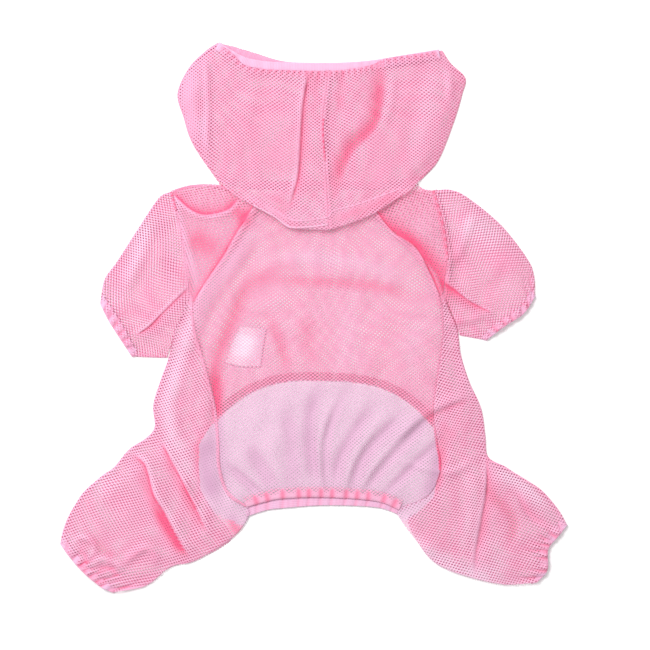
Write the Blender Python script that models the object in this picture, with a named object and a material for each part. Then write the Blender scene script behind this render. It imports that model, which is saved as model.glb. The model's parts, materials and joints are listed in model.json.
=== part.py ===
"""A dog's fine-net bug suit, lying flat with its back up.

Millimetres are used for every size in this file and turned into metres once,
in grid_object.  X runs across the suit, Y runs from the hind cuffs to the
hood, Z is up, and the floor is at Z = 0.
"""
from collections import namedtuple

import bmesh
import bpy
from mathutils import Vector

MM = 0.001

# ---- walls and layers ------------------------------------------------------
WALL = 1.0             # thickness of one layer of net
TAPE_WALL = 1.4        # folded elastic tape
LABEL_WALL = 0.8
SEAM_INSET = 0.35      # each piece stops this far short of the seam line
FLOOR_MID = 0.5        # middle of the layer that lies on the floor
SECOND_MID = 1.8       # middle of whatever lies straight on that layer
FOLD_MID = 2.3         # middle of the upper layer where it turns at a side
FOLD_TIP = 1.4         # height of the turn itself
FOLD_RUN = 1.3         # width of the turn
MOST_TURN = 0.3        # share of a narrow cross line that the turn may take
NARROWEST = 4.0        # cross lines narrower than this are treated as this wide
BODY_RISE = 2.4        # how far the upper layer lifts inside its edges
BODY_RUN = 14.0        # over this distance
HOOD_RISE = 2.9
HOOD_RUN = 9.0
FLAP_LIFT = 3.3        # the hood's lower edge climbs onto the shoulders
FLAP_START = 97.0      # from this Y
FLAP_RUN = 7.0
BOW_SHAPE = 3.0        # how flat a bowed cross line runs in its middle
CURVE_STEPS = 12       # short straight runs from one point of a curve to the next

PINK = (0.93, 0.44, 0.62, 1.0)
TAPE_PINK = (0.93, 0.60, 0.76, 1.0)
LABEL_WHITE = (0.93, 0.91, 0.94, 1.0)

# ---- sections: the outer and inner end of each cross line --------------------
Section = namedtuple("Section", "outer_x outer_y inner_x inner_y bow")
LegSection = namedtuple("LegSection", "outer_x outer_y back_x back_y belly_x belly_y")
Fold = namedtuple("Fold", "path height left_width right_width")

# back panel: left edge, right edge, and how far the line bows towards the hood
BACK = [
    Section(-38, 82, 40, 78, -14),
    Section(-49, 66, 50, 67, -8),
    Section(-56, 55, 60, 57, -3),
    Section(-64, 42, 70, 48, 0),
    Section(-72, 30, 78, 37, 0),
    Section(-80, 17, 85, 23, 0),
    Section(-85, 5, 90, 8, 0),
    Section(-83, -10, 91, -8, 0),
    Section(-78, -28, 89, -27, 0),
    Section(-73, -46, 86, -47, 0),
    Section(-69, -64, 84, -66, 0),
    Section(-67, -84, 87, -87, 0),
    Section(-66, -104, 89, -106, 0),
    Section(-60, -122, 80, -124, 2),
    Section(-46, -131, 59, -133, 7),
]

# belly panel: neck, shoulders, armholes, sides, and the arch that ends it
BELLY = [
    Section(-65, 93, 72, 93, 0),
    Section(-97, 85, 84, 85, 0),
    Section(-92, 62, 90, 64, 0),
    Section(-88, 36, 93, 38, 0),
    Section(-85.5, 16, 91, 20, 0),
    Section(-85, 5, 90, 8, 0),
    Section(-83, -10, 91, -8, 0),
    Section(-78, -28, 89, -27, 2),
    Section(-73, -46, 86, -47, 12),
    Section(-69, -64, 84, -66, 24),
    Section(-68, -72, 83, -76, 30),
]

SHOULDER_LEFT = [
    Section(-99, 88, -40, 80, 9.5),
    Section(-95, 74, -50, 64, 3),
    Section(-91.5, 58, -61, 46, 0),
    Section(-88.5, 38, -72, 30, 0),
    Section(-86.5, 22, -80.5, 17, 0),
    Section(-85.6, 13, -83, 11, 0),
]

SHOULDER_RIGHT = [
    Section(83.5, 89, 41, 78, -4),
    Section(87, 76, 51, 66, -1),
    Section(91, 60, 64, 54, 0),
    Section(93, 42, 76, 40, 0),
    Section(91.5, 26, 84.5, 24, 0),
    Section(90.5, 17, 87.7, 15, 0),
]

# hind legs: side outline, seam on the back, edge on the belly side
LEG_LEFT = [
    LegSection(-89, 0, -84.8, 2, -84.8, 2),
    LegSection(-94, -9, -83, -10, -83, -10),
    LegSection(-101, -27, -78, -28, -78, -28),
    LegSection(-107, -44, -73, -46, -73, -46),
    LegSection(-112, -61, -69, -64, -69, -64),
    LegSection(-111, -76, -68, -76, -73, -77),
    LegSection(-117, -84, -66.5, -90, -80, -88),
    LegSection(-129, -92, -66, -104, -80, -104),
    LegSection(-139, -104, -60, -122, -79, -120),
    LegSection(-151, -113, -47, -138.5, -69, -137),
    LegSection(-160, -121, -57, -154, -57, -154),
    LegSection(-166, -129, -81, -169, -81, -169),
    LegSection(-171, -137, -97, -173, -97, -173),
    LegSection(-174, -145, -112, -185, -112, -185),
    LegSection(-175, -151, -133, -189, -133, -189),
]

LEG_RIGHT = [
    LegSection(94, 3, 90.3, 5, 90.3, 5),
    LegSection(98.5, -7, 91, -8, 91, -8),
    LegSection(103, -26, 89, -27, 89, -27),
    LegSection(109, -45, 86, -47, 86, -47),
    LegSection(117, -63, 84, -66, 84, -66),
    LegSection(120, -82, 87, -87, 85, -87),
    LegSection(122, -97, 89.2, -106, 88, -106),
    LegSection(134, -104, 81.5, -125.5, 84, -125),
    LegSection(145, -111, 60.5, -140.5, 66, -141),
    LegSection(153, -116, 73, -157, 73, -157),
    LegSection(159, -120, 85, -172, 85, -172),
    LegSection(164, -125, 104, -182, 104, -182),
    LegSection(168.5, -131, 128, -189, 128, -189),
    LegSection(172, -138, 150, -188, 150, -188),
]

# ---- sleeves and hood: four edges each ---------------------------------------
SLEEVE_LEFT = {
    "start": [(-100, 88), (-96, 75), (-92.5, 59), (-89.5, 38), (-86.8, 14), (-95, -7), (-102.6, -27.6)],
    "end": [(-147, 20), (-138, 9), (-130, -4), (-125, -15), (-120, -25.5)],
    "outer": [(-100, 88), (-108, 84), (-121, 65), (-137, 40), (-146, 27), (-147, 20)],
    "inner": [(-102.6, -27.6), (-110, -27.5), (-120, -25.5)],
}
SLEEVE_RIGHT = {
    "start": [(84.5, 89), (88, 76), (92, 60), (94.2, 40), (92, 18), (98.5, -1), (102.4, -12)],
    "end": [(151, 24), (145, 11), (133, 2), (121, -6), (115, -14)],
    "outer": [(84.5, 89), (96, 89.5), (108, 84), (131, 65), (149, 42), (154, 30), (151, 24)],
    "inner": [(102.4, -12), (108, -13), (115, -14)],
}
HOOD_LEFT = {
    "start": [(-67, 192.3), (-57, 185), (-47, 176), (-30, 173.5), (10.5, 172)],
    "end": [(-67, 97), (-56, 86), (-42, 78), (-28, 71), (-17, 63), (11, 61)],
    "outer": [(-67, 192.3), (-75, 187), (-87, 175), (-95, 157), (-91, 141), (-84, 121), (-67, 97)],
    "inner": [(10.5, 172), (6.5, 137), (7.5, 118), (9, 97), (11, 61)],
}
HOOD_LEFT_BELOW = {
    "start": [(-67, 192.3), (-56, 190), (-41, 185.5), (-20, 179.5), (10.5, 177.5)],
    "end": [(-67, 97), (11, 96.5)],
    "outer": HOOD_LEFT["outer"],
    "inner": [(10.5, 177.5), (11, 96.5)],
}
HOOD_RIGHT = {
    "start": [(90, 187), (70, 184), (50, 181), (38, 176), (10.5, 172)],
    "end": [(74.5, 97), (66, 88), (55, 81), (43, 73), (29, 67), (11, 61)],
    "outer": [(90, 187), (96, 178), (106, 168), (104, 157), (98, 137), (87, 110), (74.5, 97)],
    "inner": HOOD_LEFT["inner"],
}
HOOD_RIGHT_BELOW = {
    "start": [(90, 187), (62, 183), (38, 180), (10.5, 177.5)],
    "end": [(74.5, 97), (11, 96.5)],
    "outer": HOOD_RIGHT["outer"],
    "inner": [(10.5, 177.5), (11, 96.5)],
}

# ---- elastic, from edge to edge ----------------------------------------------
CUFFS = {
    "sleeve_cuff_left": {
        "start": [(-147.6, 19), (-139, 8), (-131, -5), (-126, -16), (-120.8, -26.2)],
        "end": [(-149, 10), (-143, -2), (-136, -13), (-127, -27)],
        "outer": [(-147.6, 19), (-149, 10)],
        "inner": [(-120.8, -26.2), (-127, -27)],
    },
    "sleeve_cuff_right": {
        "start": [(152, 23), (146, 10), (134, 1), (122, -7), (115.8, -14.8)],
        "end": [(155, 15), (147, 3), (135, -5), (121, -15.5)],
        "outer": [(152, 23), (155, 15)],
        "inner": [(115.8, -14.8), (121, -15.5)],
    },
    "hind_cuff_left": {
        "start": [(-175.6, -151.8), (-161, -168), (-147, -181), (-133.8, -189.6)],
        "end": [(-177, -158), (-165, -173.5), (-150, -187), (-140, -192)],
        "outer": [(-175.6, -151.8), (-177, -158)],
        "inner": [(-133.8, -189.6), (-140, -192)],
    },
    "hind_cuff_right": {
        "start": [(172.8, -138.6), (164, -150), (158, -160), (156, -176), (151, -188.4)],
        "end": [(177.4, -145), (170, -154), (164, -162), (163.5, -176), (157, -184)],
        "outer": [(172.8, -138.6), (177.4, -145)],
        "inner": [(151, -188.4), (157, -184)],
    },
}
CUFF_PULL = 0.25       # the last quarter of a leg turns to meet its cuff
LEG_ENDS = {
    "hind_leg_left": [(-174.8, -151.2), (-160, -167.3), (-146.2, -180.2), (-133, -189)],
    "hind_leg_right": [(172, -138), (163, -149.5), (156.8, -160), (154.8, -176), (150, -188)],
}

RUMP_BAND = {
    "start": [(-45.4, -131.6), (-33, -127.8), (-21, -125.6), (7, -124.8), (43, -127.4), (58.4, -133.6)],
    "end": [(-47, -139), (-33, -134.5), (-21, -133), (8, -131), (43, -132.3), (58.5, -137)],
}
HOOD_BAND = {
    "start": [(-55, 182.5), (-46, 179.4), (-30, 178.8), (12, 178), (40, 180.4), (80, 185.4)],
    "end": [(-55, 174.5), (-46, 172.6), (-30, 172), (12, 171), (40, 173.6), (80, 178.4)],
}
BAND_LAYERS_APART = 1.4    # the hood's tape lies doubled
ARCH_HEM_DEPTH = 6.0
ARCH_HEM_CLEAR = 0.4       # the hem starts this far above the arch
ARCH_HEM_END = 0.01        # and stops this share short of each end
ARCH_STEPS = 16
LABEL = {
    "start": [(-50, -6.5), (-33, -8)],
    "end": [(-62, -31), (-51, -34), (-38, -31)],
    "outer": [(-50, -6.5), (-56, -16), (-62, -31)],
    "inner": [(-33, -8), (-35.5, -20), (-38, -31)],
}

# ---- the largest folds: crest line, height, reach to its left and right ------
BODY_FOLDS = [
    Fold([(-107, -84), (-94, -108), (-82, -133), (-77, -145)], 1.8, 9, 5),
    Fold([(-131, -93), (-116, -107), (-105, -134), (-91, -161), (-84, -170)], 2.2, 12, 5),
    Fold([(-122, -160), (-112, -163), (-106, -170)], 1.6, 7, 7),
    Fold([(119, -97), (120, -111), (117, -141), (111, -182)], 2.2, 5, 14),
    Fold([(113, -52), (99, -57), (77, -68), (54, -85)], -1.6, 7, 7),
    Fold([(-64, -24), (-70, -45), (-69, -70)], -1.6, 8, 8),
    Fold([(7, -117), (7, -85), (-2, -63)], 1.4, 9, 7),
    Fold([(23, -120), (29, -101), (39, -77), (48, -63)], 1.4, 7, 7),
    Fold([(-87, 22), (-96, 13), (-106, 3), (-116, -6), (-125, -11)], 1.8, 10, 5),
    Fold([(-100, 88), (-87, 76), (-74, 72), (-58, 77)], 1.3, 4, 8),
    Fold([(-108, 80), (-110, 50), (-113, 15)], -1.4, 8, 8),
    Fold([(112, 75), (108, 61), (102, 46), (95, 38)], 1.6, 6, 10),
    Fold([(92, 24), (100, 18), (108, 10), (125, 7)], 1.5, 7, 5),
    Fold([(98, -3), (109, -1), (121, 4)], 1.2, 5, 5),
    Fold([(140, -118), (152, -133), (163, -143)], -1.2, 7, 7),
    Fold([(-60, 30), (-20, 34), (30, 30), (70, 24)], -0.9, 9, 9),
]
HOOD_FOLDS = [
    Fold([(-4, 171), (-8, 150), (-10, 120), (-12, 98), (-17, 78)], 2.2, 5, 14),
    Fold([(47, 171), (47, 143), (40, 131), (29, 118), (17, 94)], -1.7, 9, 9),
    Fold([(-75, 172), (-77, 150), (-75, 125)], -1.2, 7, 7),
    Fold([(88, 178), (95, 150)], -1.0, 6, 6),
]


# ---- plane geometry ----------------------------------------------------------
def smoothstep(value):
    value = min(max(value, 0.0), 1.0)
    return value * value * (3.0 - 2.0 * value)


def spline(points, position):
    """A point on the smooth curve through the given points; position 0 to 1."""
    last = len(points) - 1
    place = min(max(position, 0.0), 1.0) * last
    index = min(int(place), last - 1)
    part = place - index
    here, there = points[index], points[index + 1]
    before = points[index - 1] if index > 0 else here
    after = points[index + 2] if index + 2 <= last else there
    tangent_here = (there - before) * 0.5
    tangent_there = (after - here) * 0.5
    square, cube = part * part, part * part * part
    return (here * (2 * cube - 3 * square + 1) + tangent_here * (cube - 2 * square + part)
            + there * (3 * square - 2 * cube) + tangent_there * (cube - square))


def curve(points):
    """A curve through the points, run at an even speed."""
    knots = [Vector(point) for point in points]
    steps = CURVE_STEPS * (len(knots) - 1)
    samples = [spline(knots, step / steps) for step in range(steps + 1)]
    lengths = [0.0]
    for first, second in zip(samples, samples[1:]):
        lengths.append(lengths[-1] + (second - first).length)

    def at(position):
        target = min(max(position, 0.0), 1.0) * lengths[-1]
        index = next(i for i in range(len(samples) - 1) if lengths[i + 1] >= target - 1e-9)
        part = (target - lengths[index]) / (lengths[index + 1] - lengths[index])
        return samples[index].lerp(samples[index + 1], part)
    return at


def ruled(rows, outer, inner, bows):
    """A patch from cross lines that may bow to one side."""
    outer_knots = [Vector(outer(row)) for row in rows]
    inner_knots = [Vector(inner(row)) for row in rows]
    bow_knots = [Vector((bow, 0.0)) for bow in bows]

    def at(along, across):
        start = spline(outer_knots, along)
        end = spline(inner_knots, along)
        side = Vector((start.y - end.y, end.x - start.x)).normalized()
        arch = 1.0 - abs(2.0 * across - 1.0) ** BOW_SHAPE
        return start.lerp(end, across) + side * spline(bow_knots, along).x * arch
    return at


def panel(rows):
    return ruled(rows, lambda row: (row.outer_x, row.outer_y),
                 lambda row: (row.inner_x, row.inner_y), [row.bow for row in rows])


def leg_layer(rows, inner, cuff_line):
    """One layer of a leg, its last part drawn over to the line of the cuff."""
    straight = ruled(rows, lambda row: (row.outer_x, row.outer_y), inner, [0.0] * len(rows))

    def at(along, across):
        pull = smoothstep((along - 1.0 + CUFF_PULL) / CUFF_PULL)
        return straight(along, across) + (cuff_line(across) - straight(1.0, across)) * pull
    return at


def coons(edges):
    """A patch inside four edges: start and end lines, outer and inner sides."""
    start, end = curve(edges["start"]), curve(edges["end"])
    outer = curve(edges.get("outer", [edges["start"][0], edges["end"][0]]))
    inner = curve(edges.get("inner", [edges["start"][-1], edges["end"][-1]]))

    def at(along, across):
        lengthwise = start(across).lerp(end(across), along)
        crosswise = outer(along).lerp(inner(along), across)
        corners = start(0).lerp(start(1), across).lerp(end(0).lerp(end(1), across), along)
        return lengthwise + crosswise - corners
    return at


def distance_to_path(point, path):
    """Distance to a line of points, positive on the left of its direction."""
    best = None
    for first, second in zip(path, path[1:]):
        start, run = Vector(first), Vector(second) - Vector(first)
        part = min(max((point - start).dot(run) / run.length_squared, 0.0), 1.0)
        offset = point - start - run * part
        if best is None or offset.length < abs(best):
            left = run.x * offset.y - run.y * offset.x
            best = offset.length if left >= 0 else -offset.length
    return best


def fold_height(point, folds):
    total = 0.0
    for fold in folds:
        distance = distance_to_path(point, fold.path)
        width = fold.left_width if distance >= 0 else fold.right_width
        total += fold.height * (1.0 - smoothstep(abs(distance) / width))
    return total


# ---- how high the cloth lies ---------------------------------------------------
BODY_EDGES = [
    [(-67, 95), (-82, 93), (-99, 88)] + SLEEVE_LEFT["outer"][1:],
    SLEEVE_LEFT["inner"],
    [(row.outer_x, row.outer_y) for row in LEG_LEFT[2:]],
    [(row.back_x, row.back_y) for row in LEG_LEFT[9:]],
    RUMP_BAND["end"],
    [(row.back_x, row.back_y) for row in LEG_RIGHT[10:]],
    [(row.outer_x, row.outer_y) for row in LEG_RIGHT[2:]],
    SLEEVE_RIGHT["inner"],
    [(74, 95), (84, 89)] + SLEEVE_RIGHT["outer"][1:],
]
HOOD_SIDES = [HOOD_LEFT["outer"], HOOD_RIGHT["outer"]]


def body_height(point):
    edge = min(abs(distance_to_path(point, path)) for path in BODY_EDGES)
    inside = smoothstep(edge / BODY_RUN)
    return FOLD_MID + BODY_RISE * inside + fold_height(point, BODY_FOLDS) * inside


def hood_height(point):
    edge = min(abs(distance_to_path(point, path)) for path in HOOD_SIDES)
    inside = smoothstep(edge / HOOD_RUN)
    flap = FLAP_LIFT * smoothstep((FLAP_START - point.y) / FLAP_RUN)
    return FOLD_MID + HOOD_RISE * inside + flap + fold_height(point, HOOD_FOLDS) * inside


def level(height):
    return lambda point: height


# ---- cloth pieces; columns run across a piece and rows along it -------------------
def grid_object(name, columns, rows, place, material, wall, closed=False):
    """A net of columns by rows cells, each corner set by place, given its wall."""
    mesh = bpy.data.meshes.new(name)
    net = bmesh.new()
    bmesh.ops.create_grid(net, x_segments=columns, y_segments=rows, size=0.5)
    for vertex in net.verts:
        across = min(max(vertex.co.x + 0.5, 0.0), 1.0)
        along = min(max(vertex.co.y + 0.5, 0.0), 1.0)
        vertex.co = Vector(place(along, across)) * MM
    if closed:
        bmesh.ops.remove_doubles(net, verts=net.verts, dist=0.00001)
    bmesh.ops.recalc_face_normals(net, faces=net.faces)
    net.to_mesh(mesh)
    net.free()
    piece = bpy.data.objects.new(name, mesh)
    bpy.context.collection.objects.link(piece)
    mesh.materials.append(material)
    solid = piece.modifiers.new("wall", "SOLIDIFY")
    solid.thickness = wall * MM
    solid.offset = 0.0
    mesh.shade_smooth()
    return piece


def width_at(patch, along):
    return max((patch(along, 1.0) - patch(along, 0.0)).length, NARROWEST)


def inset(patch, along, across):
    """The patch's point, with the piece held back from its seam lines."""
    across_share = SEAM_INSET / width_at(patch, along)
    along_share = SEAM_INSET / max((patch(1.0, across) - patch(0.0, across)).length, NARROWEST)
    return patch(along_share + (1.0 - 2.0 * along_share) * along,
                 across_share + (1.0 - 2.0 * across_share) * across)


def sheet_piece(name, patch, columns, rows, height, material, wall=WALL):
    def place(along, across):
        point = inset(patch, along, across)
        return point.x, point.y, height(point)
    return grid_object(name, columns, rows, place, material, wall)


def folded_piece(name, above, below, columns, rows, height, material):
    """One piece that runs over the top, round its outer side and back underneath."""
    half = columns // 2

    def place(along, share):
        step = round(share * columns) - half
        patch = above if step < 0 else below
        if step == 0:
            point = inset(patch, along, 0.0)
            return point.x, point.y, FOLD_TIP
        run = min(FOLD_RUN / width_at(patch, along), MOST_TURN)
        point = inset(patch, along, run + (1.0 - run) * (abs(step) - 1) / (half - 1))
        return point.x, point.y, height(point) if step < 0 else FLOOR_MID
    return grid_object(name, columns, rows, place, material, WALL)


def tube_piece(name, patch, columns, rows, height, low_height, material, wall=WALL):
    """A flattened tube: across the top, round one edge, back below, round the other."""
    def place(along, share):
        step = round(share * 2 * columns)
        over = step <= columns
        column = step if over else 2 * columns - step
        if column == 0 or column == columns:
            point = inset(patch, along, column / columns)
            return point.x, point.y, (FOLD_TIP - FLOOR_MID) + low_height(point)
        run = min(FOLD_RUN / width_at(patch, along), MOST_TURN)
        point = inset(patch, along, run + (1.0 - 2.0 * run) * (column - 1) / (columns - 2))
        return point.x, point.y, height(point) if over else low_height(point)
    return grid_object(name, 2 * columns, rows, place, material, wall, closed=True)


def make_material(name, colour, roughness):
    material = bpy.data.materials.new(name)
    material.use_nodes = True
    shader = material.node_tree.nodes["Principled BSDF"]
    shader.inputs["Base Color"].default_value = colour
    shader.inputs["Roughness"].default_value = roughness
    shader.inputs["Metallic"].default_value = 0.0
    return material


def clear_objects():
    for item in list(bpy.data.objects):
        bpy.data.objects.remove(item, do_unlink=True)


def net_pink(name):
    return make_material(name + "_net", PINK, 0.65)


def tape_pink(name):
    return make_material(name + "_tape", TAPE_PINK, 0.7)


def hem_above(arch):
    """The strip of cloth that is turned up along the arch."""
    def at(along, across):
        share = ARCH_HEM_END + (1.0 - 2.0 * ARCH_HEM_END) * along
        ahead = (arch(share + ARCH_HEM_END) - arch(share - ARCH_HEM_END)).normalized()
        return arch(share) + Vector((-ahead.y, ahead.x)) * (ARCH_HEM_CLEAR + ARCH_HEM_DEPTH * across)
    return at


def build_body():
    sheet_piece("back_panel", panel(BACK), 16, 22, body_height, net_pink("back_panel"))
    belly = panel(BELLY)
    sheet_piece("belly_panel", belly, 14, 13, level(FLOOR_MID), net_pink("belly_panel"))
    arch = curve([belly(1.0, step / ARCH_STEPS) for step in range(ARCH_STEPS + 1)])
    sheet_piece("belly_hem", hem_above(arch), 2, 22, level(SECOND_MID), net_pink("belly_hem"))
    satin = make_material("care_label_satin", LABEL_WHITE, 0.5)
    sheet_piece("care_label", coons(LABEL), 3, 4, level(SECOND_MID), satin, LABEL_WALL)
    sheet_piece("shoulder_left", panel(SHOULDER_LEFT), 7, 8, body_height, net_pink("shoulder_left"))
    sheet_piece("shoulder_right", panel(SHOULDER_RIGHT), 7, 8, body_height, net_pink("shoulder_right"))
    rump_tape = tape_pink("rump_band")
    sheet_piece("rump_band", coons(RUMP_BAND), 24, 1, level(TAPE_WALL / 2), rump_tape, TAPE_WALL)


def build_limbs():
    for name, edges in (("sleeve_left", SLEEVE_LEFT), ("sleeve_right", SLEEVE_RIGHT)):
        tube_piece(name, coons(edges), 9, 7, body_height, level(FLOOR_MID), net_pink(name))
    for name, rows in (("hind_leg_left", LEG_LEFT), ("hind_leg_right", LEG_RIGHT)):
        cuff_line = curve(LEG_ENDS[name])
        above = leg_layer(rows, lambda row: (row.back_x, row.back_y), cuff_line)
        below = leg_layer(rows, lambda row: (row.belly_x, row.belly_y), cuff_line)
        folded_piece(name, above, below, 14, 20, body_height, net_pink(name))
    for name, edges in CUFFS.items():
        tube_piece(name, coons(edges), 9, 1, body_height, level(FLOOR_MID), tape_pink(name))


def build_hood():
    halves = (("hood_left", HOOD_LEFT, HOOD_LEFT_BELOW), ("hood_right", HOOD_RIGHT, HOOD_RIGHT_BELOW))
    for name, above, below in halves:
        folded_piece(name, coons(above), coons(below), 18, 11, hood_height, net_pink(name))
    upper, lower = level(SECOND_MID + BAND_LAYERS_APART), level(SECOND_MID)
    tube_piece("hood_band", coons(HOOD_BAND), 22, 1, upper, lower, tape_pink("hood_band"))


def build_object():
    clear_objects()
    build_body()
    build_limbs()
    build_hood()


build_object()
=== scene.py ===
# %% [markdown]
# # A dog's net bug suit, laid flat
# The suit is sewn from one fine pink insect net and some soft elastic tape.  It
# lies on a pale floor with its back up.  Every piece below is cut, turned over
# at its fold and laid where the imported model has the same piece.  Sizes are in
# millimetres, and each mesh is turned into metres once, when it is made.

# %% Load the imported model
import json
import math
from collections import defaultdict, namedtuple

import bmesh
import bpy
import numpy as np
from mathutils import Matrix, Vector

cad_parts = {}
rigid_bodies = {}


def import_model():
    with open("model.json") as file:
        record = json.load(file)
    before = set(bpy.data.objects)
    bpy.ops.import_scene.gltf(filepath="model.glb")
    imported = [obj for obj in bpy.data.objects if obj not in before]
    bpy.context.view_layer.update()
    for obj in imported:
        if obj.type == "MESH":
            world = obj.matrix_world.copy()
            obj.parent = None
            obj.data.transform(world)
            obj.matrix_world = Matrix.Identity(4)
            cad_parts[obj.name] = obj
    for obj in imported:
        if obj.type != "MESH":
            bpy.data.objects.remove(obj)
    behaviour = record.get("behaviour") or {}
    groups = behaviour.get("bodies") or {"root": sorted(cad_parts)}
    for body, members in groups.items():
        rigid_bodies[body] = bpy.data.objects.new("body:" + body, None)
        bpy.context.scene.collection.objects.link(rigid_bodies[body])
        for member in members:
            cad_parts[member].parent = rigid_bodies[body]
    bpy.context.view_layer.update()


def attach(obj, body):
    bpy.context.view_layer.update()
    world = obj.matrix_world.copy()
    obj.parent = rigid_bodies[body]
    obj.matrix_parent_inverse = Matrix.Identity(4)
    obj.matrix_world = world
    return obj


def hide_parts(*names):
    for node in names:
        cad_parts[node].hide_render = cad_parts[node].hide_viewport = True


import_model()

MM = 0.001

# %% [markdown]
# ## Camera, floor and light
# The suit was looked at from straight above, so the camera hangs over it with a
# long lens, which keeps the sides from leaning.  The floor is a white light
# table: its soft glow fills the holes of the net from below.  The sky gives an
# even fill, and one large soft lamp at the upper left draws the folds.

# %% Camera
VIEW_WIDTH = 455.0        # width of floor that the picture takes in
VIEW_CENTRE = (8.05, -4.9)
CAMERA_HEIGHT = 1600.0
SENSOR = 36.0
FAR_END = 20.0            # metres

camera_data = bpy.data.cameras.new("camera")
camera_data.sensor_width = SENSOR
camera_data.lens = SENSOR * CAMERA_HEIGHT / VIEW_WIDTH
camera_data.clip_end = FAR_END
camera = bpy.data.objects.new("camera", camera_data)
camera.location = Vector((*VIEW_CENTRE, CAMERA_HEIGHT)) * MM
bpy.context.collection.objects.link(camera)
bpy.context.scene.camera = camera
print("lens in mm:", round(camera_data.lens, 1))


# %% [markdown]
# ## Sums for materials
# A net's pattern is a sum of waves, and such a sum is far easier to read as
# ordinary arithmetic than as a web of nodes.  Value stands for the output of a
# node and adds a Math node for each sign, and Recipe holds one material and adds
# every other node through one method.

# %% Shader sums
class Value:
    """A socket that can stand in an ordinary sum."""

    def __init__(self, recipe, socket):
        self.recipe, self.socket = recipe, socket

    def maths(self, operation, *others):
        sockets = dict(enumerate((self,) + others))
        return self.recipe.node("ShaderNodeMath", {"operation": operation}, sockets)

    def __add__(self, other):
        return self.maths("ADD", other)

    def __sub__(self, other):
        return self.maths("SUBTRACT", other)

    def __mul__(self, other):
        return self.maths("MULTIPLY", other)

    def __rsub__(self, other):
        return self.recipe.node("ShaderNodeMath", {"operation": "SUBTRACT"}, {0: other, 1: self})

    __radd__ = __add__
    __rmul__ = __mul__

    def clamped(self):
        return self.recipe.node("ShaderNodeClamp", {}, {0: self})


class Recipe:
    """A material, with its nodes as they are added."""

    def __init__(self, name, **constants):
        self.material = bpy.data.materials.new(name)
        self.material.use_nodes = True
        self.tree = self.material.node_tree
        self.shader = self.tree.nodes["Principled BSDF"]
        for socket, value in constants.items():
            self.shader.inputs[socket.replace("_", " ")].default_value = value

    def node(self, kind, settings, sockets, output=0):
        made = self.tree.nodes.new(kind)
        for setting, value in settings.items():
            setattr(made, setting, value)
        for socket, value in sockets.items():
            self.plug(made.inputs[socket], value)
        return Value(self, made.outputs[output])

    def plug(self, socket, value):
        if isinstance(value, Value):
            self.tree.links.new(value.socket, socket)
        else:
            socket.default_value = value

    def feed(self, socket, value):
        self.plug(self.shader.inputs[socket], value)

    def mix(self, factor, first, second):
        return self.node("ShaderNodeMix", {"data_type": "RGBA"}, {0: factor, 6: first, 7: second}, 2)

    def noise(self, where, scale, detail=2.0):
        return self.node("ShaderNodeTexNoise", {}, {"Vector": where, "Scale": scale, "Detail": detail})

    def bump(self, height, strength, distance):
        made = self.node("ShaderNodeBump", {}, {"Strength": strength, "Distance": distance, "Height": height})
        self.feed("Normal", made)

    def place(self):
        return self.node("ShaderNodeTexCoord", {}, {}, "Object")

    def paint(self, name):
        return self.node("ShaderNodeAttribute", {"attribute_name": name}, {}, "Fac")

    def cloth_phase(self, axis, apart):
        """The angle of waves this far apart, which run along one axis of the cloth map."""
        cloth = self.node("ShaderNodeUVMap", {"uv_map": "cloth"}, {})
        return self.node("ShaderNodeSeparateXYZ", {}, {0: cloth}, axis) * (2 * math.pi / MM / apart)


print("classes made:", Value.__name__, "and", Recipe.__name__)

# %% [markdown]
# ## A white table and soft light
# The suit is pale and lets light through, so it is shown on white with hardly any
# shadow.  A wide sky does most of the work.  The lamp is weak and stands to one
# side, so that a fold has a light flank and a darker one.

# %% Floor and light
FLOOR_SIDE = 6000.0
SKY = (1.0, 1.0, 1.0, 1.0)
SKY_STRENGTH = 0.60
TABLE_GLOW = 0.10
LAMP_SIDE = 900.0
LAMP_PLACE = (-650.0, 700.0, 1500.0)
LAMP_POWER = 26.0
NET_CROSSINGS = 48        # how many holes in the net one ray may pass
PAPER_PALE, PAPER_GREY = (0.93, 0.93, 0.93, 1), (0.9, 0.9, 0.9, 1)

paper = Recipe("lit_white_table", Roughness=0.9, Emission_Color=(1, 1, 1, 1), Emission_Strength=TABLE_GLOW)
paper_grain = paper.noise(paper.place(), 4.0)
paper.feed("Base Color", paper.mix(paper_grain * 0.1, PAPER_PALE, PAPER_GREY))

floor_net = bmesh.new()
bmesh.ops.create_grid(floor_net, x_segments=1, y_segments=1, size=FLOOR_SIDE * MM / 2)
floor_mesh = bpy.data.meshes.new("floor")
floor_net.to_mesh(floor_mesh)
floor_net.free()
floor_mesh.materials.append(paper.material)
floor = bpy.data.objects.new("floor", floor_mesh)
bpy.context.collection.objects.link(floor)

world = bpy.data.worlds.new("studio")
world.use_nodes = True
world.node_tree.nodes["Background"].inputs["Color"].default_value = SKY
world.node_tree.nodes["Background"].inputs["Strength"].default_value = SKY_STRENGTH
bpy.context.scene.world = world

lamp_data = bpy.data.lights.new("soft_lamp", "AREA")
lamp_data.shape = "DISK"
lamp_data.size = LAMP_SIDE * MM
lamp_data.energy = LAMP_POWER
lamp = bpy.data.objects.new("soft_lamp", lamp_data)
lamp.location = Vector(LAMP_PLACE) * MM
lamp.rotation_euler = (-lamp.location).to_track_quat("-Z", "Y").to_euler()
bpy.context.collection.objects.link(lamp)
bpy.context.scene.view_settings.view_transform = "Standard"
bpy.context.scene.cycles.transparent_max_bounces = NET_CROSSINGS
print("lamp:", LAMP_POWER, "W, sky:", SKY_STRENGTH)

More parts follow.
